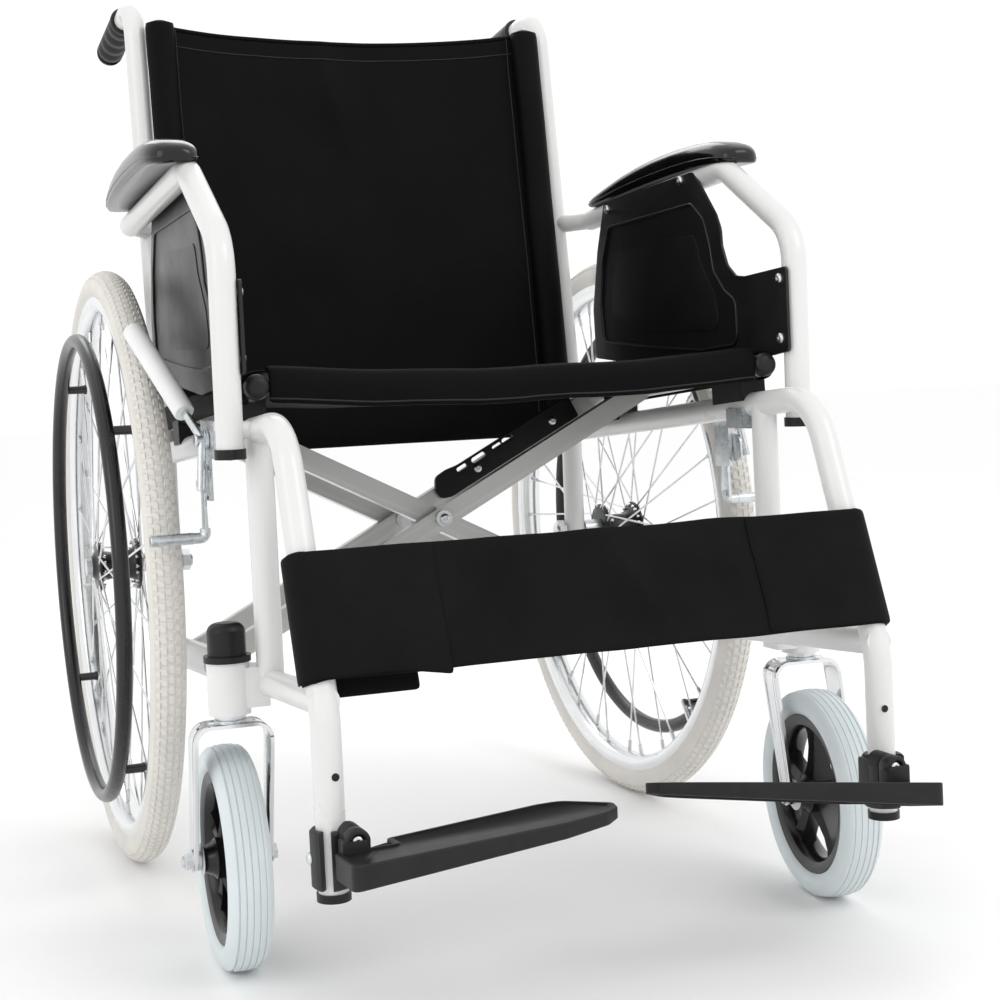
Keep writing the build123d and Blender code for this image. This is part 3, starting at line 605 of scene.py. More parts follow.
def fork_parts():
    """A bright pressed-steel fork: one strip bent over the wheel, with a raised rib, and its stem."""
    path = rounded([(-30.5, 0, 84), (-30.5, 0, 205), (30.5, 0, 205), (30.5, 0, 84)], 13.0, 8)
    dense = []
    for a, b in zip(path, path[1:]):
        n = max(1, int((b - a).length / 8))
        dense += [a.lerp(b, k / n) for k in range(n)]
    dense.append(path[-1])
    points = []
    for i, p in enumerate(dense):
        t = (dense[min(i + 1, len(dense) - 1)] - dense[max(i - 1, 0)]).normalized()
        out = Vector((-t.z, 0, t.x))
        drop = max(0.0, min(1.0, (192 - p.z) / (192 - CASTER_R)))
        half = 14.5 - 4.0 * drop
        if p.z < CASTER_R + 2:
            half = 10.5 * math.sqrt(max(0.05, 1 - ((CASTER_R + 2 - p.z) / 10.5) ** 2))
        shift = CASTER_TRAIL * drop
        for w, d in FORK_SECTION:
            points.append(tuple(p + out * d + Vector((0, shift + w * half, 0))))
    strip = (points, closed_faces(len(dense), len(FORK_SECTION)))
    stem = disc((0, 0, 206), (0, 0, 1), [(13, 0), (13.4, 1), (13.4, 2.6), (10.5, 3.0), (10.5, 4.2),
                                         (12.8, 4.6), (12.8, 6.2), (6, 6.4), (6, 44)], 40)
    return [strip], [stem]


def caster_bearings():
    """The pale bearing covers pressed into both faces of the hub."""
    cover = [(13.4, 0), (13.6, 0.5), (12.6, 1.1), (8.6, 1.3), (8.2, 0.7), (5.4, 0.7)]
    return [disc((24 * way, *CASTER_HUB), (way, 0, 0), cover, 36) for way in (-1, 1)]


def caster_bolts():
    """The caster's axle: spacers inside the fork, a long nut outboard and a low head inboard."""
    spacer = [(8.2, 0), (8.2, 1.4), (6.4, 1.6), (6.4, 4.2)]
    turned = [(-28.4, 1, spacer, 24), (28.4, -1, spacer, 24),
              (-32.2, -1, [(9, 0), (9, 1.2), (8.4, 1.5)], 24),
              (-33.6, -1, [(7.4, 0), (7.4, 4.2), (6.4, 5)], 6),
              (-38.4, -1, [(4.6, 0), (4.6, 2.0), (3.8, 2.6)], 24),
              (32.2, 1, [(8.6, 0), (8.6, 1.0), (8.2, 1.3)], 24),
              (33.2, 1, [(7.0, 0), (7.0, 3.2), (6.0, 3.9)], 6)]
    return [disc((x, *CASTER_HUB), (way, 0, 0), profile, sides) for x, way, profile, sides in turned]


caster_tyre_part = caster_tyre()
band_part, inner_parts = caster_core()
strip_parts, stem_parts = fork_parts()
for side in SIDES:
    at = caster_matrix(side)
    wheel, fork = "caster_wheel_" + side, "caster_fork_" + side
    sided(side, "caster_tread", [caster_tyre_part], "caster_tyre_grey", wheel, "caster_tyre", at=at)
    sided(side, "caster_band", [band_part], "core_black", wheel, "caster_core", look="core_ring", at=at)
    sided(side, "caster_spokes", inner_parts, "core_black", wheel, "caster_core", at=at)
    sided(side, "caster_bearings", caster_bearings(), "zinc_steel", wheel, look="bearing_pale", at=at)
    sided(side, "fork_strip", strip_parts, "fork_chrome", fork, "caster_fork", crease=50, at=at)
    sided(side, "fork_stem", stem_parts, "fork_chrome", fork, look="zinc_steel", at=at)
    sided(side, "caster_bolts", caster_bolts(), "zinc_steel", fork, at=at)

# ================================================================ push grips
GRIP_START, GRIP_END = (100.0, 877.53), (223.0, 865.5)
GRIP_LENGTH, GRIP_R, GRIP_WAVES = 123.6, 15.0, 4


def push_grip():
    """A moulded grip: a collar, finger hollows along its underside and a rounded end."""
    start = Vector((SIDE_X, *GRIP_START))
    run = (Vector((SIDE_X, *GRIP_END)) - start).normalized()
    up = Vector((0, -run.z, run.y))
    points, sides = [], 64
    stations = [(0.0, 0.72), (0.2, 0.90), (1.4, 0.98), (3.0, 1.0), (6.0, 1.0), (7.2, 0.97), (8.0, 0.93)]
    stations += [(8.0 + (GRIP_LENGTH - 16) * k / 70, None) for k in range(1, 70)]
    stations += [(GRIP_LENGTH - 8, 0.97), (GRIP_LENGTH - 4, 0.93), (GRIP_LENGTH - 1.6, 0.82),
                 (GRIP_LENGTH - 0.4, 0.66), (GRIP_LENGTH, 0.45)]
    for d, share in stations:
        for k in range(sides):
            t = 2 * pi * k / sides
            r = GRIP_R * (share or 1.0)
            if share is None:
                wave = 0.5 - 0.5 * cos(2 * pi * GRIP_WAVES * (d - 8) / (GRIP_LENGTH - 16))
                under = max(0.0, -sin(t - 0.35)) ** 0.5
                r = GRIP_R * 0.975 - 3.4 * under * (1 - wave) ** 1.4
            points.append(tuple(start + run * d + Vector((1, 0, 0)) * (r * cos(t))
                                + up * (r * sin(t))))
    return points, closed_faces(len(stations), sides)


for side in SIDES:
    sided(side, "grip_moulded", [push_grip()], "grip_rubber", "side_" + side, "push_grip", 40)

# ================================================================ arm pads
PAD_STATIONS = [  # y, inner x, outer x, bottom z, top z
    (-352.6, 257, 269, 663.4, 671.0),
    (-351.6, 252.0, 275, 661.8, 673.4),
    (-348, 247.6, 280.6, 661.2, 676.2),
    (-340, 244.0, 285.4, 661.2, 680.2),
    (-326, 241.8, 288.2, 661.8, 684.2),
    (-308, 240.9, 289.6, 662.4, 687.2),
    (-280, 240.6, 290, 662.6, 689.4),
    (-245, 240.6, 290, 662.2, 690.2),
    (-205, 240.6, 290, 661.2, 689.4),
    (-165, 240.6, 289.6, 659.8, 686.6),
    (-125, 240.6, 288.2, 658.0, 681.8),
    (-90, 241, 286, 656.6, 675.4),
    (-60, 242, 282, 655.6, 669.6),
    (-46, 243.4, 278.4, 655.2, 666.2),
    (-40, 246, 275, 656.4, 664.6),
    (-38, 250, 271, 658.4, 662.8),
]


def arm_pad():
    """A moulded pad: a crowned body over a thin lip that runs all round its underside."""
    points = []
    sides = 40
    for y, x0, x1, z0, z1 in PAD_STATIONS:
        cx, hx = (x0 + x1) / 2, (x1 - x0) / 2
        waist = z0 + (z1 - z0) * 0.30
        for k in range(sides):
            t = 2 * pi * k / sides
            c, s = cos(t), sin(t)
            if s >= 0:
                x = math.copysign(abs(c) ** 0.72, c) * hx
                z = waist + (z1 - waist) * abs(s) ** 0.78
            else:
                x = math.copysign(abs(c) ** 0.42, c) * hx * 0.985
                z = waist - (waist - z0) * abs(s) ** 0.42
            points.append((cx + x, y, z))
    return points, closed_faces(len(PAD_STATIONS), sides)


def pad_seam():
    """The parting line between the pad's crown and its lip."""
    left, right = [], []
    for y, x0, x1, z0, z1 in PAD_STATIONS[1:-1]:
        z = z0 + (z1 - z0) * 0.30
        left.append((x0 + 0.1, y, z))
        right.append((x1 - 0.1, y, z))
    return tube(left + right[::-1] + left[:1], 0.75, 8)


for side in SIDES:
    body = "side_" + side
    pad = sided(side, "pad_moulded", [arm_pad(), pad_seam()], "arm_pad_black", body, "arm_pad", 50)

# ================================================================ side panels
SKIRT_OUTLINE = [(-92, 655), (-70, 605), (-53, 543), (-55, 490), (-120, 484), (-200, 476), (-290, 468),
                 (-380, 474), (-461, 482), (-461, 556), (-388, 553), (-371, 555), (-356, 566), (-347, 585),
                 (-346, 600), (-338, 615), (-307, 649), (-292, 660)]
SKIRT_IN, SKIRT_OUT = 240.1, 243.0
SKIRT_RADII = [6, 30, 30, 6, 20, 40, 40, 40, 4, 4, 10, 14, 12, 14, 14, 16, 8, 4]
SKIRT_BOLTS = [(-100, 647), (-271, 655), (-450, 546), (-449, 494)]


def contour():
    """The raised band that follows the panel's rim, as one ridge on each face."""
    flat = round_corners([(-104, 628), (-84, 590), (-76, 545), (-80, 508), (-200, 496), (-300, 489),
                          (-372, 492), (-372, 532), (-352, 542), (-332, 562), (-326, 588), (-316, 612),
                          (-292, 630)], [10, 24, 24, 10, 40, 30, 10, 14, 14, 18, 18, 18, 12], 5)
    parts = []
    for x in (SKIRT_IN - 0.4, SKIRT_OUT + 0.4):
        loop = [(x, y, z) for y, z in flat]
        parts.append(tube(loop + loop[:2], 1.3, 8, False))
    return parts


def inner_panel():
    """The shallow raised field inside the band, with one slanted step across it."""
    field = round_corners([(-128, 606), (-108, 570), (-103, 530), (-180, 512), (-340, 506), (-332, 540),
                           (-306, 572), (-296, 600)], 16, 5)
    return slab(field, 239.2, 243.9, 1.0)


def skirt_bolts(axis_sign):
    parts = []
    for y, z in SKIRT_BOLTS:
        x = SKIRT_OUT if axis_sign > 0 else SKIRT_IN
        parts += pan_bolt((x, y, z), (axis_sign, 0, 0), 4.6, 2.6)
    return parts


for side in SIDES:
    body = "side_" + side
    panel = slab(round_corners(SKIRT_OUTLINE, SKIRT_RADII), SKIRT_IN, SKIRT_OUT, 0.7)
    sided(side, "side_panel", [panel, inner_panel()] + contour(), "skirt_black", body, "skirt_panel")
    sided(side, "panel_screws", skirt_bolts(-1) + skirt_bolts(1), "zinc_steel", body)

# ================================================================ brakes
LEVER_PIVOT = (-338.0, 430.0)
SHOE_PIVOT = (-322.0, 392.0)
LEVER_ANGLE, LEVER_LEAN = radians(41.8), radians(13.5)
BRAKE_X = 254.0


def on_lever(d):
    """A point on the lever, which leans out over the tyre, d from its pivot."""
    reach = d * cos(LEVER_LEAN)
    return Vector((BRAKE_X + d * sin(LEVER_LEAN), LEVER_PIVOT[0] + reach * cos(LEVER_ANGLE),
                   LEVER_PIVOT[1] + reach * sin(LEVER_ANGLE)))


def lever_parts():
    """A bright rod: down from its pivot plate, round a bend and back along the wheel."""
    path = rounded([(BRAKE_X + 4.5, LEVER_PIVOT[0] - 8, LEVER_PIVOT[1] - 42),
                    (BRAKE_X, LEVER_PIVOT[0], LEVER_PIVOT[1] + 1), on_lever(60)], 14.0, 8)
    rod = tube(path, 3.6, 16)
    flat = slab(round_corners([(-352, 386), (-336, 382), (-330, 404), (-338, 410), (-350, 404)], 4, 3),
                249.9, 252.2, 0.5)
    boss = disc((249.6, *LEVER_PIVOT), (1, 0, 0), [(8.5, 0), (8.5, 2.6), (7.8, 3.0)], 28)
    return [rod, flat, boss]


def sleeve_part():
    stations = [(36, 6.5), (36.4, 8.4), (37.6, 9.2), (90, 9.4), (148, 9.5), (152, 8.8), (154.4, 6.8),
                (155, 3.5)]
    return disc(on_lever(0), on_lever(1) - on_lever(0), [(r, d) for d, r in stations], 32)


def shoe_parts():
    """The curved link and the round bar that bears on the tyre."""
    y, z = SHOE_PIVOT
    link = slab(round_corners([(y - 7, z + 6), (y + 6, z + 7), (y + 9, z - 14), (y + 12, z - 40),
                               (y + 2, z - 50), (y - 4, z - 42), (y - 2, z - 18)], 5, 4), 249.8, 252.6, 0.5)
    bar = tube(rounded([(251.4, y + 4, z - 38), (251.4, y + 4, z - 46), (299, y + 4, z - 46)], 4.5, 6), 4.6)
    collar = disc((262, y + 4, z - 46), (1, 0, 0), [(4.6, 0), (5.0, 0.3), (5.0, 36), (4.4, 36.8)], 24)
    boss = disc((249.7, y, z), (1, 0, 0), [(8.2, 0), (8.2, 3.4), (7.4, 4.0)], 28)
    return [link, bar, collar, boss]


def bracket_hardware():
    """Bolts on the brake's clamp and its pivot rivets."""
    parts = hex_bolt((249, -406, 424), (1, 0, 0), 10.0, 6.5)
    parts += hex_bolt((249, -392, 441), (1, 0, 0), 8.0, 5.5)
    parts += pan_bolt((258.4, *LEVER_PIVOT), (1, 0, 0), 5.2, 2.6)
    parts += pan_bolt((253.6, *SHOE_PIVOT), (1, 0, 0), 5.0, 1.2)
    return parts


for side in SIDES:
    sided(side, "lever_rod", lever_parts(), "brake_zinc", "brake_lever_" + side, "brake_lever")
    sided(side, "lever_sleeve", [sleeve_part()], "sleeve_white", "brake_lever_" + side, "brake_sleeve")
    sided(side, "shoe_link", shoe_parts(), "brake_zinc", "brake_shoe_" + side, "brake_shoe")
    sided(side, "brake_bolts", bracket_hardware(), "zinc_steel", "side_" + side)

# ================================================================ footplates
PLATE_OUT_X, PLATE_FRONT_Y, PLATE_TOP_Z = 234.0, -677.0, 147.0
PLATE_PITCH = {"r": 3.0, "l": 12.5}
PLATE_RISE = {"r": 1.5, "l": 7.1}
HINGE_X, HINGE_Z = 218.0, 152.0
LUG_FRONT = LEG_Y - 23.0
EAR_BACK = LUG_FRONT - 0.5
EAR_FRONT = EAR_BACK - 12.5
PLATE_OUTLINE = [(PLATE_OUT_X, PLATE_FRONT_Y), (68, -653), (30, -641), (17, -628), (13, -612), (42, -576),
                 (62, -576), (190, -606), (190, LUG_FRONT - 3), (PLATE_OUT_X, LUG_FRONT - 3)]
PLATE_RADII = [7, 22, 14, 9, 9, 16, 14, 7, 2, 7]
LEG_HOLE_Z = 193.6
CLAMP_R, CLAMP_Z0, CLAMP_Z1 = 15.5, 114.0, 156.0


def footplate(side):
    """A smooth plate with a shallow recess inside a raised rim, tapering to its inner end, on a hinge ear."""
    pitch, rise = radians(PLATE_PITCH[side]), radians(PLATE_RISE[side])
    corner = Matrix.Translation((PLATE_OUT_X, PLATE_FRONT_Y, PLATE_TOP_Z))
    top = corner @ Matrix.Rotation(-pitch, 4, "X") @ Matrix.Rotation(rise, 4, "Y")

    def on_top(x, y, d):
        p = top @ Vector((x - PLATE_OUT_X, y - PLATE_FRONT_Y, 0))
        return (p.x, p.y, p.z + d)

    def thickness(x):
        return 8.6 + 9.4 * ((x - 13) / (PLATE_OUT_X - 13)) ** 0.8

    outline = round_corners(PLATE_OUTLINE, PLATE_RADII, 6)
    work = bmesh.new()
    upper = [work.verts.new(on_top(x, y, 0.0)) for x, y in outline]
    lower = [work.verts.new(on_top(x, y, -thickness(max(x, 13.0)))) for x, y in outline]
    n = len(outline)
    faces = [work.faces.new(upper), work.faces.new(lower[::-1])]
    for i in range(n):
        work.faces.new((lower[i], lower[(i + 1) % n], upper[(i + 1) % n], upper[i]))
    bmesh.ops.recalc_face_normals(work, faces=work.faces)
    bmesh.ops.bevel(work, geom=[e for f in faces for e in f.edges], offset=1.2, segments=3, affect="EDGES",
                    profile=0.6)
    big = sorted((f for f in work.faces if len(f.verts) > 20), key=lambda f: -f.calc_center_median().z)
    bmesh.ops.inset_region(work, faces=[big[0]], thickness=3.4, use_even_offset=True)
    bmesh.ops.inset_region(work, faces=[big[0]], thickness=1.6, depth=-1.2, use_even_offset=True)
    bmesh.ops.inset_region(work, faces=[big[1]], thickness=3.0, use_even_offset=True)
    bmesh.ops.inset_region(work, faces=[big[1]], thickness=0.5, depth=-4.0, use_even_offset=True)
    work.verts.index_update()
    parts = [([tuple(v.co) for v in work.verts], [tuple(v.index for v in f.verts) for f in work.faces])]
    work.free()
    ear_z = on_top(HINGE_X, EAR_BACK, -4)[2]
    parts.append(box_part(HINGE_X - 9, HINGE_X + 12, EAR_FRONT, EAR_BACK, ear_z, HINGE_Z + 1.5, 2.2))
    dome = [(5.6, 3.4), (5.6, 0.7), (6.2, 0.1), (8.0, 0), (8.8, 0.5), (9.2, 1.6), (9.2, 11.2), (8.4, 12.3),
            (5, 12.5)]
    parts.append(disc((HINGE_X, EAR_FRONT, HINGE_Z), (0, 1, 0), dome, 36))
    return parts


def clamp_parts():
    """A collar split at its outer front, holding the hinge lug against the leg tube."""
    slot, half = radians(-60.6), radians(14)
    inner, outer = TUBE_R + 0.1, CLAMP_R
    section = [(inner, CLAMP_Z0 + 0.6), (inner + 0.8, CLAMP_Z0), (outer - 1.4, CLAMP_Z0),
               (outer, CLAMP_Z0 + 1.4), (outer, CLAMP_Z1 - 1.8), (outer - 1.8, CLAMP_Z1),
               (inner + 0.8, CLAMP_Z1), (inner, CLAMP_Z1 - 0.6)]
    points, steps = [], 48
    for i in range(steps + 1):
        a = slot + half + (2 * pi - 2 * half) * i / steps
        swell = 2.2 * math.exp(-(min(i, steps - i) / 3.0) ** 2)
        for r, z in section:
            wide = r + (swell if r > inner + 1 else 0)
            points.append((SIDE_X + wide * cos(a), LEG_Y + wide * sin(a), z))
    collar = (points, closed_faces(steps + 1, len(section)))
    lug = box_part(HINGE_X - 9, HINGE_X + 5, LUG_FRONT, LEG_Y - 10, 128, HINGE_Z, 2.5)
    knuckle = disc((HINGE_X, LUG_FRONT, HINGE_Z), (0, 1, 0),
                   [(7, 0), (8.6, 0.5), (9, 1.5), (9, 15.5), (7, 16.5)], 36)
    cheek = box_part(SIDE_X - 17.5, SIDE_X - 10, LEG_Y - 14, LEG_Y + 8, CLAMP_Z0 + 2, CLAMP_Z1 - 2, 2.5)
    return [collar, lug, knuckle, cheek]


def clamp_hardware():
    """The footplate hinge's bolt, sunk in its ear, and the collar's cross bolt."""
    parts = pan_bolt((HINGE_X, EAR_FRONT + 3.2, HINGE_Z), (0, -1, 0), 4.6, 2.6)
    parts += pan_bolt((SIDE_X + CLAMP_R - 0.2, LEG_Y + 3, 135), (1, 0, 0), 4.4, 2.4)
    return parts


for side in SIDES:
    body = "side_" + side
    sided(side, "plate", footplate(side), "footplate_black", "footplate_" + side, "footplate", 40)
    sided(side, "plate_clamp", clamp_parts(), "footplate_black", body, "footplate_clamp", 40)
    sided(side, "plate_bolts", clamp_hardware(), "zinc_steel", body)
    # A thin black disc on the leg tube's front: painted shade where the tube has a hole.
    hole_shade_disc = disc((SIDE_X - 2.5, LEG_Y - TUBE_R + 0.3, LEG_HOLE_Z), (0, -1, 0), [(2.9, 0), (2.9, 0.5)], 24)
    sided(side, "leg_hole_shade", [hole_shade_disc], "cap_black", body)

# ================================================================ upholstery
SEAT_TOP = SEAT_GAP + 15.4
SEAT_WRAP_R = 12.8
SEAT_SAG = 17.0


def cloth(name, rows, slot, body, stands_for, thickness):
    """A sheet from rows of points in millimetres, thickened and smoothed."""
    count = len(rows[0])
    points = [p for row in rows for p in row]
    obj = piece(name, [(points, grid_faces(len(rows), count))], slot, body, stands_for, crease=180)
    solid = obj.modifiers.new("thick", "SOLIDIFY")
    solid.thickness = thickness * MM
    solid.offset = 0.0
    fine = obj.modifiers.new("fine", "SUBSURF")
    fine.levels = fine.render_levels = 1
    return obj


def bake(obj):
    """Applies a piece's modifiers to its mesh."""
    graph = bpy.context.evaluated_depsgraph_get()
    mesh = bpy.data.meshes.new_from_object(obj.evaluated_get(graph))
    obj.modifiers.clear()
    obj.data = mesh
    return obj


def wrinkle(x, y, z, size, amount, seed):
    """A smooth, fixed unevenness."""
    return amount * noise.noise(Vector((x / size + seed, y / size, z / size)))


def fold_line(p, a, b, width, depth):
    """How far a soft crease from a to b lifts the point p of a sheet's own plane."""
    p, a, b = Vector(p), Vector(a), Vector(b)
    run = b - a
    t = max(0.0, min(1.0, (p - a).dot(run) / run.length_squared))
    d = (p - (a + run * t)).length
    fade = sin(pi * min(1.0, max(0.0, t)) * 0.9 + 0.15)
    return depth * fade * math.exp(-(d / width) ** 2)


# The seat: a sling between the seat rails, wrapped under each, sagging between them.
def seat_point(s, u):
    """s runs across from rail to rail, from -1 to 1; u along the rails."""
    x = s * (SIDE_X + 1)
    along_seat = min(1.0, max(0.0, (u + 450) / 380))
    sag = SEAT_SAG * (1 - s * s) * (0.55 + 0.45 * sin(pi * along_seat ** 0.9))
    w = SEAT_TOP - 2.0 - sag + wrinkle(x, u, 0, 60, 1.6, 3.1) + wrinkle(x, u, 0, 22, 0.5, 7.7)
    y, z = along(u, w)
    return x, y, z


def seat_wrap(sign, angle, u):
    """A point of the sling where it goes round a seat rail, angle degrees up from the sitter's left."""
    a = radians(angle)
    y, z = along(u, SEAT_GAP + SEAT_WRAP_R * sin(a))
    return sign * SIDE_X + SEAT_WRAP_R * cos(a), y, z


SEAT_FRONT_U, SEAT_BACK_U = -452.0, -68.0
seat_rows = []
for i in range(25):
    t = i / 24
    u = SEAT_FRONT_U + t * (SEAT_BACK_U - SEAT_FRONT_U)
    row = [seat_wrap(-1, angle, u) for angle in (250, 215, 180, 145, 112)]
    row += [seat_point(-0.97 + 1.94 * k / 24, u) for k in range(25)]
    row += [seat_wrap(1, angle, u) for angle in (68, 35, 0, -35, -70)]
    seat_rows.append(row)
seat = cloth("seat_cloth", seat_rows, "seat_fabric", None, ["seat_sling"], 3.6)

# Its front hem: a doubled band folded down over the edge.
hem_rows = []
for i in range(8):
    row = []
    for k in range(41):
        s = -0.955 + 1.91 * k / 40
        x, y, z = seat_point(s, SEAT_FRONT_U)
        low = wrinkle(x, 0, i * 3, 45, 1.5, 11.0)
        drop = [2.0, 3.0, 1.6, -4, -10, -16, -22, -26][i]
        front = [14.0, 5, -1.8, -4.6, -5.2, -5.0, -4.4, -3.4][i]
        row.append((x, y + front + low * 0.6, z + drop + low * 0.3))
    hem_rows.append(row)
hem = cloth("seat_front_hem", hem_rows, "seat_fabric", None, ["seat_sling"], 3.4)
seat_piping = tube([Vector(p) + Vector((0, -1.2, 0)) for p in hem_rows[6]], 0.8, 8)
stitch = piece("seat_hem_stitch", [seat_piping], "seat_fabric", None, crease=180, look="thread")

# The back: a sheet between the canes, rolled round a padded edge beside each.
CANE_LOW, CANE_HIGH = (-8.0, 478.0), (44.0, 883.0)
BACK_LOW_Z, BACK_TOP_Z = 407.0, 862.0
BACK_CREASES = [((6, 700), (-34, 855), 14, -4.5), ((14, 660), (22, 850), 16, 4.0),
                ((-70, 690), (-30, 852), 18, -3.0), ((-150, 640), (-165, 850), 26, 2.0),
                ((120, 600), (160, 840), 30, 2.2), ((0, 470), (-20, 640), 30, -2.0)]
CANE_LEAN = (CANE_HIGH[0] - CANE_LOW[0]) / (CANE_HIGH[1] - CANE_LOW[1])


def back_y(z):
    """The canes' own Y at a height."""
    return CANE_LOW[0] + (CANE_LEAN * (z - CANE_LOW[1]) if z > CANE_LOW[1] else 0.0)


def back_point(s, t):
    """s across from -1 to 1, t up from 0 to 1."""
    x = s * 214.0
    top = BACK_TOP_Z - 3 - 13.0 * (1 - abs(s) ** 2.4)
    z = BACK_LOW_Z + t * (top - BACK_LOW_Z)
    bow = 9.0 * (1 - s * s) * sin(pi * (0.15 + 0.7 * t))
    y = back_y(z) - 11.0 * abs(s) ** 3 + 0.5 + bow
    flat = (x, z)
    for crease in BACK_CREASES:
        y += fold_line(flat, *crease)
    y += wrinkle(x, 0, z, 95, 3.0, 1.3) + wrinkle(x * 1.4, 0, z * 0.6, 38, 1.0, 5.2)
    return x, y, z


back_rows = []
for i in range(49):
    t = i / 48
    row = [back_point(-1 + 2 * k / 56, t) for k in range(57)]
    back_rows.append(row)
back = cloth("back_cloth", back_rows, "back_fabric", "side_r", ["back_sling"], 3.2)

ROLL_X, ROLL_FORWARD, ROLL_HALF = 204.2, 15.5, (15.0, 12.6)
edge_parts = []
for sign in (-1, 1):
    rows = []
    for i in range(49):
        t = i / 48
        top_gap, low_gap = (1 - t) * 48, t * 48
        end = min(1.0, 0.30 + 0.70 * math.sqrt(max(0.0, 1 - (1 - min(1.0, top_gap / 1.6)) ** 2)),
                  low_gap / 0.6 + 0.3)
        z = BACK_LOW_Z + 2 + (1 - (1 - t) ** 1.25) * (BACK_TOP_Z - 2.0 - BACK_LOW_Z)
        loop = []
        for k in range(28):
            a = 2 * pi * k / 28
            rx, ry = ROLL_HALF[0] * end, ROLL_HALF[1] * end
            x = math.copysign(abs(cos(a)) ** 0.9, cos(a)) * rx
            v = math.copysign(abs(sin(a)) ** 0.9, sin(a)) * ry
            loose = wrinkle(cos(a) * 12, sin(a) * 12, z * 0.5, 26, 1.0, sign * 4.0)
            loop.append((sign * (ROLL_X + wrinkle(0, t * 5, sign, 1, 0.4, 2)) + x + loose * 0.4,
                         back_y(z) - ROLL_FORWARD + v + loose, z))
        rows.append(loop)
    edge_parts.append(([p for r in rows for p in r], closed_faces(49, 28)))
back_edges = piece("back_side_rolls", edge_parts, "back_fabric", "side_r", crease=60)

top_line = [Vector(p) + Vector((0, 0, -0.6)) for p in back_rows[-1][1:-1]]
back_hem = piece("back_top_hem", [tube(top_line, 2.6, 10)], "back_fabric", "side_r", crease=60)
seams = []
for s in (-0.872, 0.872):
    seams.append(tube([Vector(back_point(s, i / 40)) + Vector((0, -1.8, 0)) for i in range(41)], 0.7, 6))
seams.append(tube([Vector(p) + Vector((0, -1.9, 0)) for p in back_rows[-3][2:-2]], 0.6, 6))
back_stitch = piece("back_seam_thread", seams, "back_fabric", "side_r", crease=60, look="thread")

# The calf strap: a broad band round the front of both leg tubes, its ends lapped back over themselves.
LEG_BEND, LEG_KNEE = (-519.0, 442.6), (-600.0, 237.0)
LEG_RUN = math.hypot(LEG_KNEE[0] - LEG_BEND[0], LEG_KNEE[1] - LEG_BEND[1])
LEG_DY, LEG_DZ = (LEG_KNEE[0] - LEG_BEND[0]) / LEG_RUN, (LEG_KNEE[1] - LEG_BEND[1]) / LEG_RUN
STRAP_MID_Z = 301.0
STRAP_MID_Y = LEG_BEND[0] + (STRAP_MID_Z - LEG_BEND[1]) / LEG_DZ * LEG_DY
STRAP_H = 98.0
STRAP_WRAP_R = 13.2
STRAP_CREASES = [((6, -38), (43, 34), 7, 4.2), ((-7, -36), (3, 30), 9, -3.6), ((60, -10), (30, 49), 12, 2.0),
                 ((-90, -49), (-80, 49), 20, -2.0), ((110, -49), (120, 49), 16, 2.0)]


def by_leg(x, d, out):
    """A point d down the leg tubes from the strap's middle and out in front of their centreline."""
    return x, STRAP_MID_Y + d * LEG_DY + out * LEG_DZ, STRAP_MID_Z + d * LEG_DZ - out * LEG_DY


def round_leg(sign, angle, r, d):
    """A point r out from a leg tube's centreline, angle degrees round it, d down from the strap's middle."""
    a = radians(angle)
    return by_leg(sign * SIDE_X + r * cos(a), d, r * sin(a))


def strap_out(x, v):
    """How far the band's face stands out at x across and v from -1, its top, to 1."""
    flat = (x, v * 49)
    out = 13.4 + 0.8 * cos(x / 60)
    for crease in STRAP_CREASES:
        out += fold_line(flat, *crease)
    slack = 1 - min(1.0, abs(x) / 215) ** 4
    out += slack * (wrinkle(x, v * 49, 0, 48, 3.0, 8.4) + wrinkle(x, v * 49, 0, 20, 0.8, 2.2))
    return out


strap_rows = []
for i in range(17):
    v = -1 + 2 * i / 16
    row = [round_leg(-1, angle, STRAP_WRAP_R, v * STRAP_H / 2) for angle in (200, 168, 136, 108)]
    for k in range(61):
        x = -SIDE_X + 2 * SIDE_X * k / 60
        edge = 0.985 + 0.03 * noise.noise(Vector((x / 70, i * 0.02, 4)))
        row.append(by_leg(x, v * edge * STRAP_H / 2, strap_out(x, v)))
    row += [round_leg(1, angle, STRAP_WRAP_R, v * STRAP_H / 2) for angle in (72, 44, 12, -20)]
    strap_rows.append(row)
strap = cloth("calf_strap_cloth", strap_rows, "strap_fabric", "side_r", ["calf_strap"], 2.8)

lap_objects = []
LAP_THICK, LAP_WRAP_R = 2.2, 15.8
for side, sign, inner in (("r", -1, 132.0), ("l", 1, 128.0)):
    rows = []
    for i in range(15):
        v = -1 + 2 * i / 14
        row = []
        for k in range(15):
            x = sign * (inner + (SIDE_X - inner) * k / 14)
            lift = 2.9 if k > 0 else 1.6
            extra = 6.0 * max(0.0, 1 - k / 5) if sign < 0 else 0.0
            row.append(by_leg(x, v * (STRAP_H / 2 - 1.5) + (extra if v > 0.7 else 0.0),
                              strap_out(x, v) + lift))
        for a in (68, 36, 0, -30):
            ang = radians(a)
            row.append(by_leg(sign * (SIDE_X + LAP_WRAP_R * cos(ang)), v * (STRAP_H / 2 - 1.5),
                              LAP_WRAP_R * sin(ang)))
        rows.append(row)
    lap_objects.append(cloth("calf_strap_lap_" + side, rows, "strap_fabric", "side_r", (), LAP_THICK))
tail_rows = []
for i in range(5):
    drop = 30.0 + 26.0 * i / 4
    tail_rows.append([by_leg(x, drop, -13.6) for x in np.linspace(-218.0, -150.0, 12)])
tail = cloth("calf_strap_tail", tail_rows, "strap_fabric", "side_r", (), LAP_THICK)

# ---------------------------------------------------------------- the cloth's modifiers applied
for soft in (seat, hem, stitch):
    bake(soft)
    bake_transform(soft)
for soft in (back, back_edges, back_hem, back_stitch):
    bake(soft)
    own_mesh(soft)
for soft in (strap, tail, *lap_objects):
    bake(soft)
    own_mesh(soft)


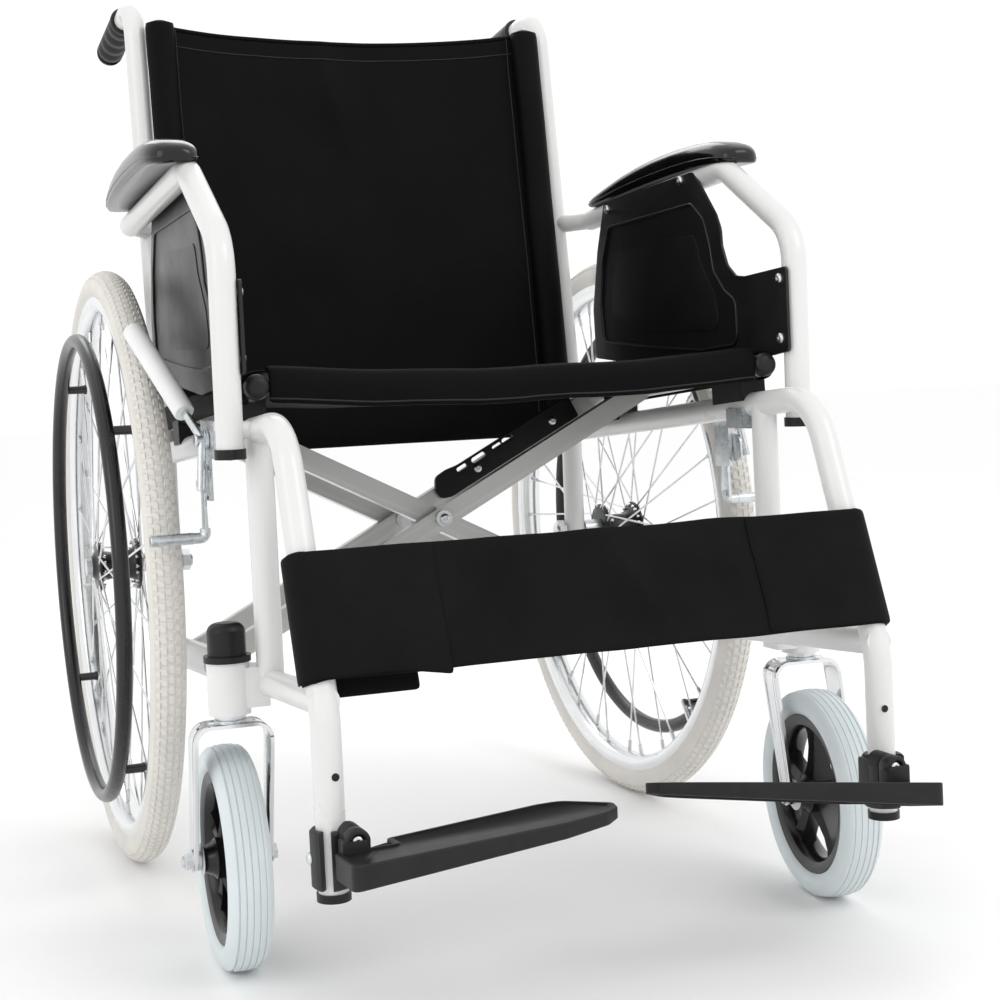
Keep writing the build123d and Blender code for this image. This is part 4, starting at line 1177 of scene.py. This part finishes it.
# ================================================================ small hardware on the frame
for side in SIDES:
    body = "side_" + side
    axle_nut = disc((205.6, 0, AXLE_Z), (1, 0, 0), [(6.5, 0), (6.9, 0.6), (6.9, 2.0)], 24)
    sided(side, "axle_end", [axle_nut], "zinc_steel", body)
    lug_bolt = hex_bolt((242.5, 0.8, 643.3), (0.82, 0.57, 0.0), 8.0, 4.0)
    sided(side, "arm_bolts", lug_bolt, "zinc_steel", body)


def on_bar(d, lift, u):
    """A point on the crossed bar from the right lower rail, d along it from its middle."""
    c, s = cos(REST_ANGLE), sin(REST_ANGLE)
    x = d * c - lift * s
    w = SEAT_GAP / 2 + d * s + lift * c
    y, z = along(u, w)
    return x, y, z


LINK_FRONT, LINK_BACK, LINK_ROUND = -97.5, -92.6, 0.5
LINK_OUTLINE = [(46, -3), (45, 8), (52, 20.0), (66, 20.6), (80, 18.4), (226, 18.4), (226, -7), (58, -7)]
LINK_SLOTS = [(82.5, 13.6, 13, 4.6), (104, 13.0, 18, 6.4), (128, 13.2, 12, 4.2), (142, 13.4, 14, 5.4)]


def brace_link():
    """The dark link bar on the cross brace, with a rounded end and long slots through it."""
    loops = [round_corners(LINK_OUTLINE, [8, 10, 9, 12, 20, 3, 3, 10], 6)]
    for d, lift, long, high in LINK_SLOTS:
        half, r = (long - high) / 2, high / 2
        arcs = [(d + half, -90), (d - half, 90)]
        loops.append([(c + r * cos(radians(a + 15 * k)),
                       lift + r * sin(radians(a + 15 * k))) for c, a in arcs for k in range(13)])
    outline = bpy.data.curves.new("link", "CURVE")
    outline.dimensions, outline.fill_mode = "2D", "BOTH"
    outline.extrude = (LINK_BACK - LINK_FRONT) / 2 - LINK_ROUND
    outline.bevel_depth, outline.offset = LINK_ROUND, -LINK_ROUND
    for loop in loops:
        spline = outline.splines.new("POLY")
        spline.points.add(len(loop) - 1)
        for point, (d, lift) in zip(spline.points, loop):
            point.co = (d, lift, 0, 1)
        spline.use_cyclic_u = True
    shape = bpy.data.objects.new("link", outline)
    mesh = bpy.data.meshes.new_from_object(shape)
    middle = (LINK_FRONT + LINK_BACK) / 2
    points = [on_bar(v.co.x, v.co.y, middle + v.co.z) for v in mesh.vertices]
    faces = [tuple(f.vertices) for f in mesh.polygons]
    bpy.data.objects.remove(shape)
    bpy.data.curves.remove(outline)
    bpy.data.meshes.remove(mesh)
    return points, faces


FACE = (0, -SLOPE_COS, SLOPE_SIN)
piece("brace_link_bar", [brace_link()], "link_black", "arm_b", ["brace_link"])
link_screws = []
for d in (97, 196):
    link_screws += pan_bolt(on_bar(d, 4, LINK_FRONT), FACE, 4.4, 2.6)
piece("brace_link_screws", link_screws, "zinc_steel", "arm_b")
pivot_bolts = pan_bolt(on_bar(0, 0, -227.0), FACE, 4.6, 2.4)
piece("cross_pivot_heads", pivot_bolts, "zinc_steel", "arm_b")

# ================================================================ floor, light and camera
floor_mesh = bpy.data.meshes.new("floor")
floor_mesh.from_pydata([(-40, -40, 0), (40, -40, 0), (40, 40, 0), (-40, 40, 0)], [], [(0, 1, 2, 3)])
floor = bpy.data.objects.new("floor", floor_mesh)
floor_mesh.materials.append(finish("pale_floor", (0.93, 0.93, 0.93), 0.8, 0.003, 3, 80, 0.01, specular=0.1))
bpy.context.scene.collection.objects.link(floor)

world = bpy.data.worlds.new("studio")
world.use_nodes = True
world.node_tree.nodes["Background"].inputs["Color"].default_value = (1.0, 1.0, 1.0, 1)
world.node_tree.nodes["Background"].inputs["Strength"].default_value = 1.06
bpy.context.scene.world = world
bpy.context.scene.view_settings.view_transform = "Standard"


def area_light(name, place, target, size, power):
    data = bpy.data.lights.new(name, "AREA")
    data.shape = "RECTANGLE"
    data.size, data.size_y = size
    data.energy = power
    obj = bpy.data.objects.new(name, data)
    obj.location = place
    obj.rotation_mode = "QUATERNION"
    obj.rotation_quaternion = (Vector(target) - Vector(place)).to_track_quat("-Z", "Y")
    bpy.context.scene.collection.objects.link(obj)


area_light("key", (1.6, -2.4, 2.6), (0, 0, 0.45), (1.6, 1.6), 22)
area_light("fill", (-2.6, -1.2, 1.6), (0, 0, 0.45), (1.4, 2.0), 12)
area_light("back", (0.4, 2.4, 2.4), (0, 0, 0.5), (2.0, 1.2), 14)

CAMERA_AT = (-531.7, -1764.3, 459.4)
YAW, PITCH, ROLL = radians(19.593), radians(-2.375), radians(-2.737)
forward = Vector((sin(YAW) * cos(PITCH), cos(YAW) * cos(PITCH), sin(PITCH)))
right = Vector((cos(YAW), -sin(YAW), 0))
up = right.cross(forward)
cam_x = right * cos(ROLL) + up * sin(ROLL)
cam_y = -right * sin(ROLL) + up * cos(ROLL)
camera_data = bpy.data.cameras.new("camera")
camera_data.sensor_width = 36.0
camera_data.lens = 61.37
camera_data.shift_x, camera_data.shift_y = 0.0396, -0.0364
camera_data.clip_start, camera_data.clip_end = 0.05, 60
camera = bpy.data.objects.new("camera", camera_data)
turn = Matrix((cam_x, cam_y, -forward)).transposed().to_4x4()
stand = Matrix.Translation((CAMERA_AT[0] * MM, AXLE_Y + CAMERA_AT[1] * MM, CAMERA_AT[2] * MM))
camera.matrix_world = stand @ turn
bpy.context.scene.collection.objects.link(camera)
bpy.context.scene.camera = camera
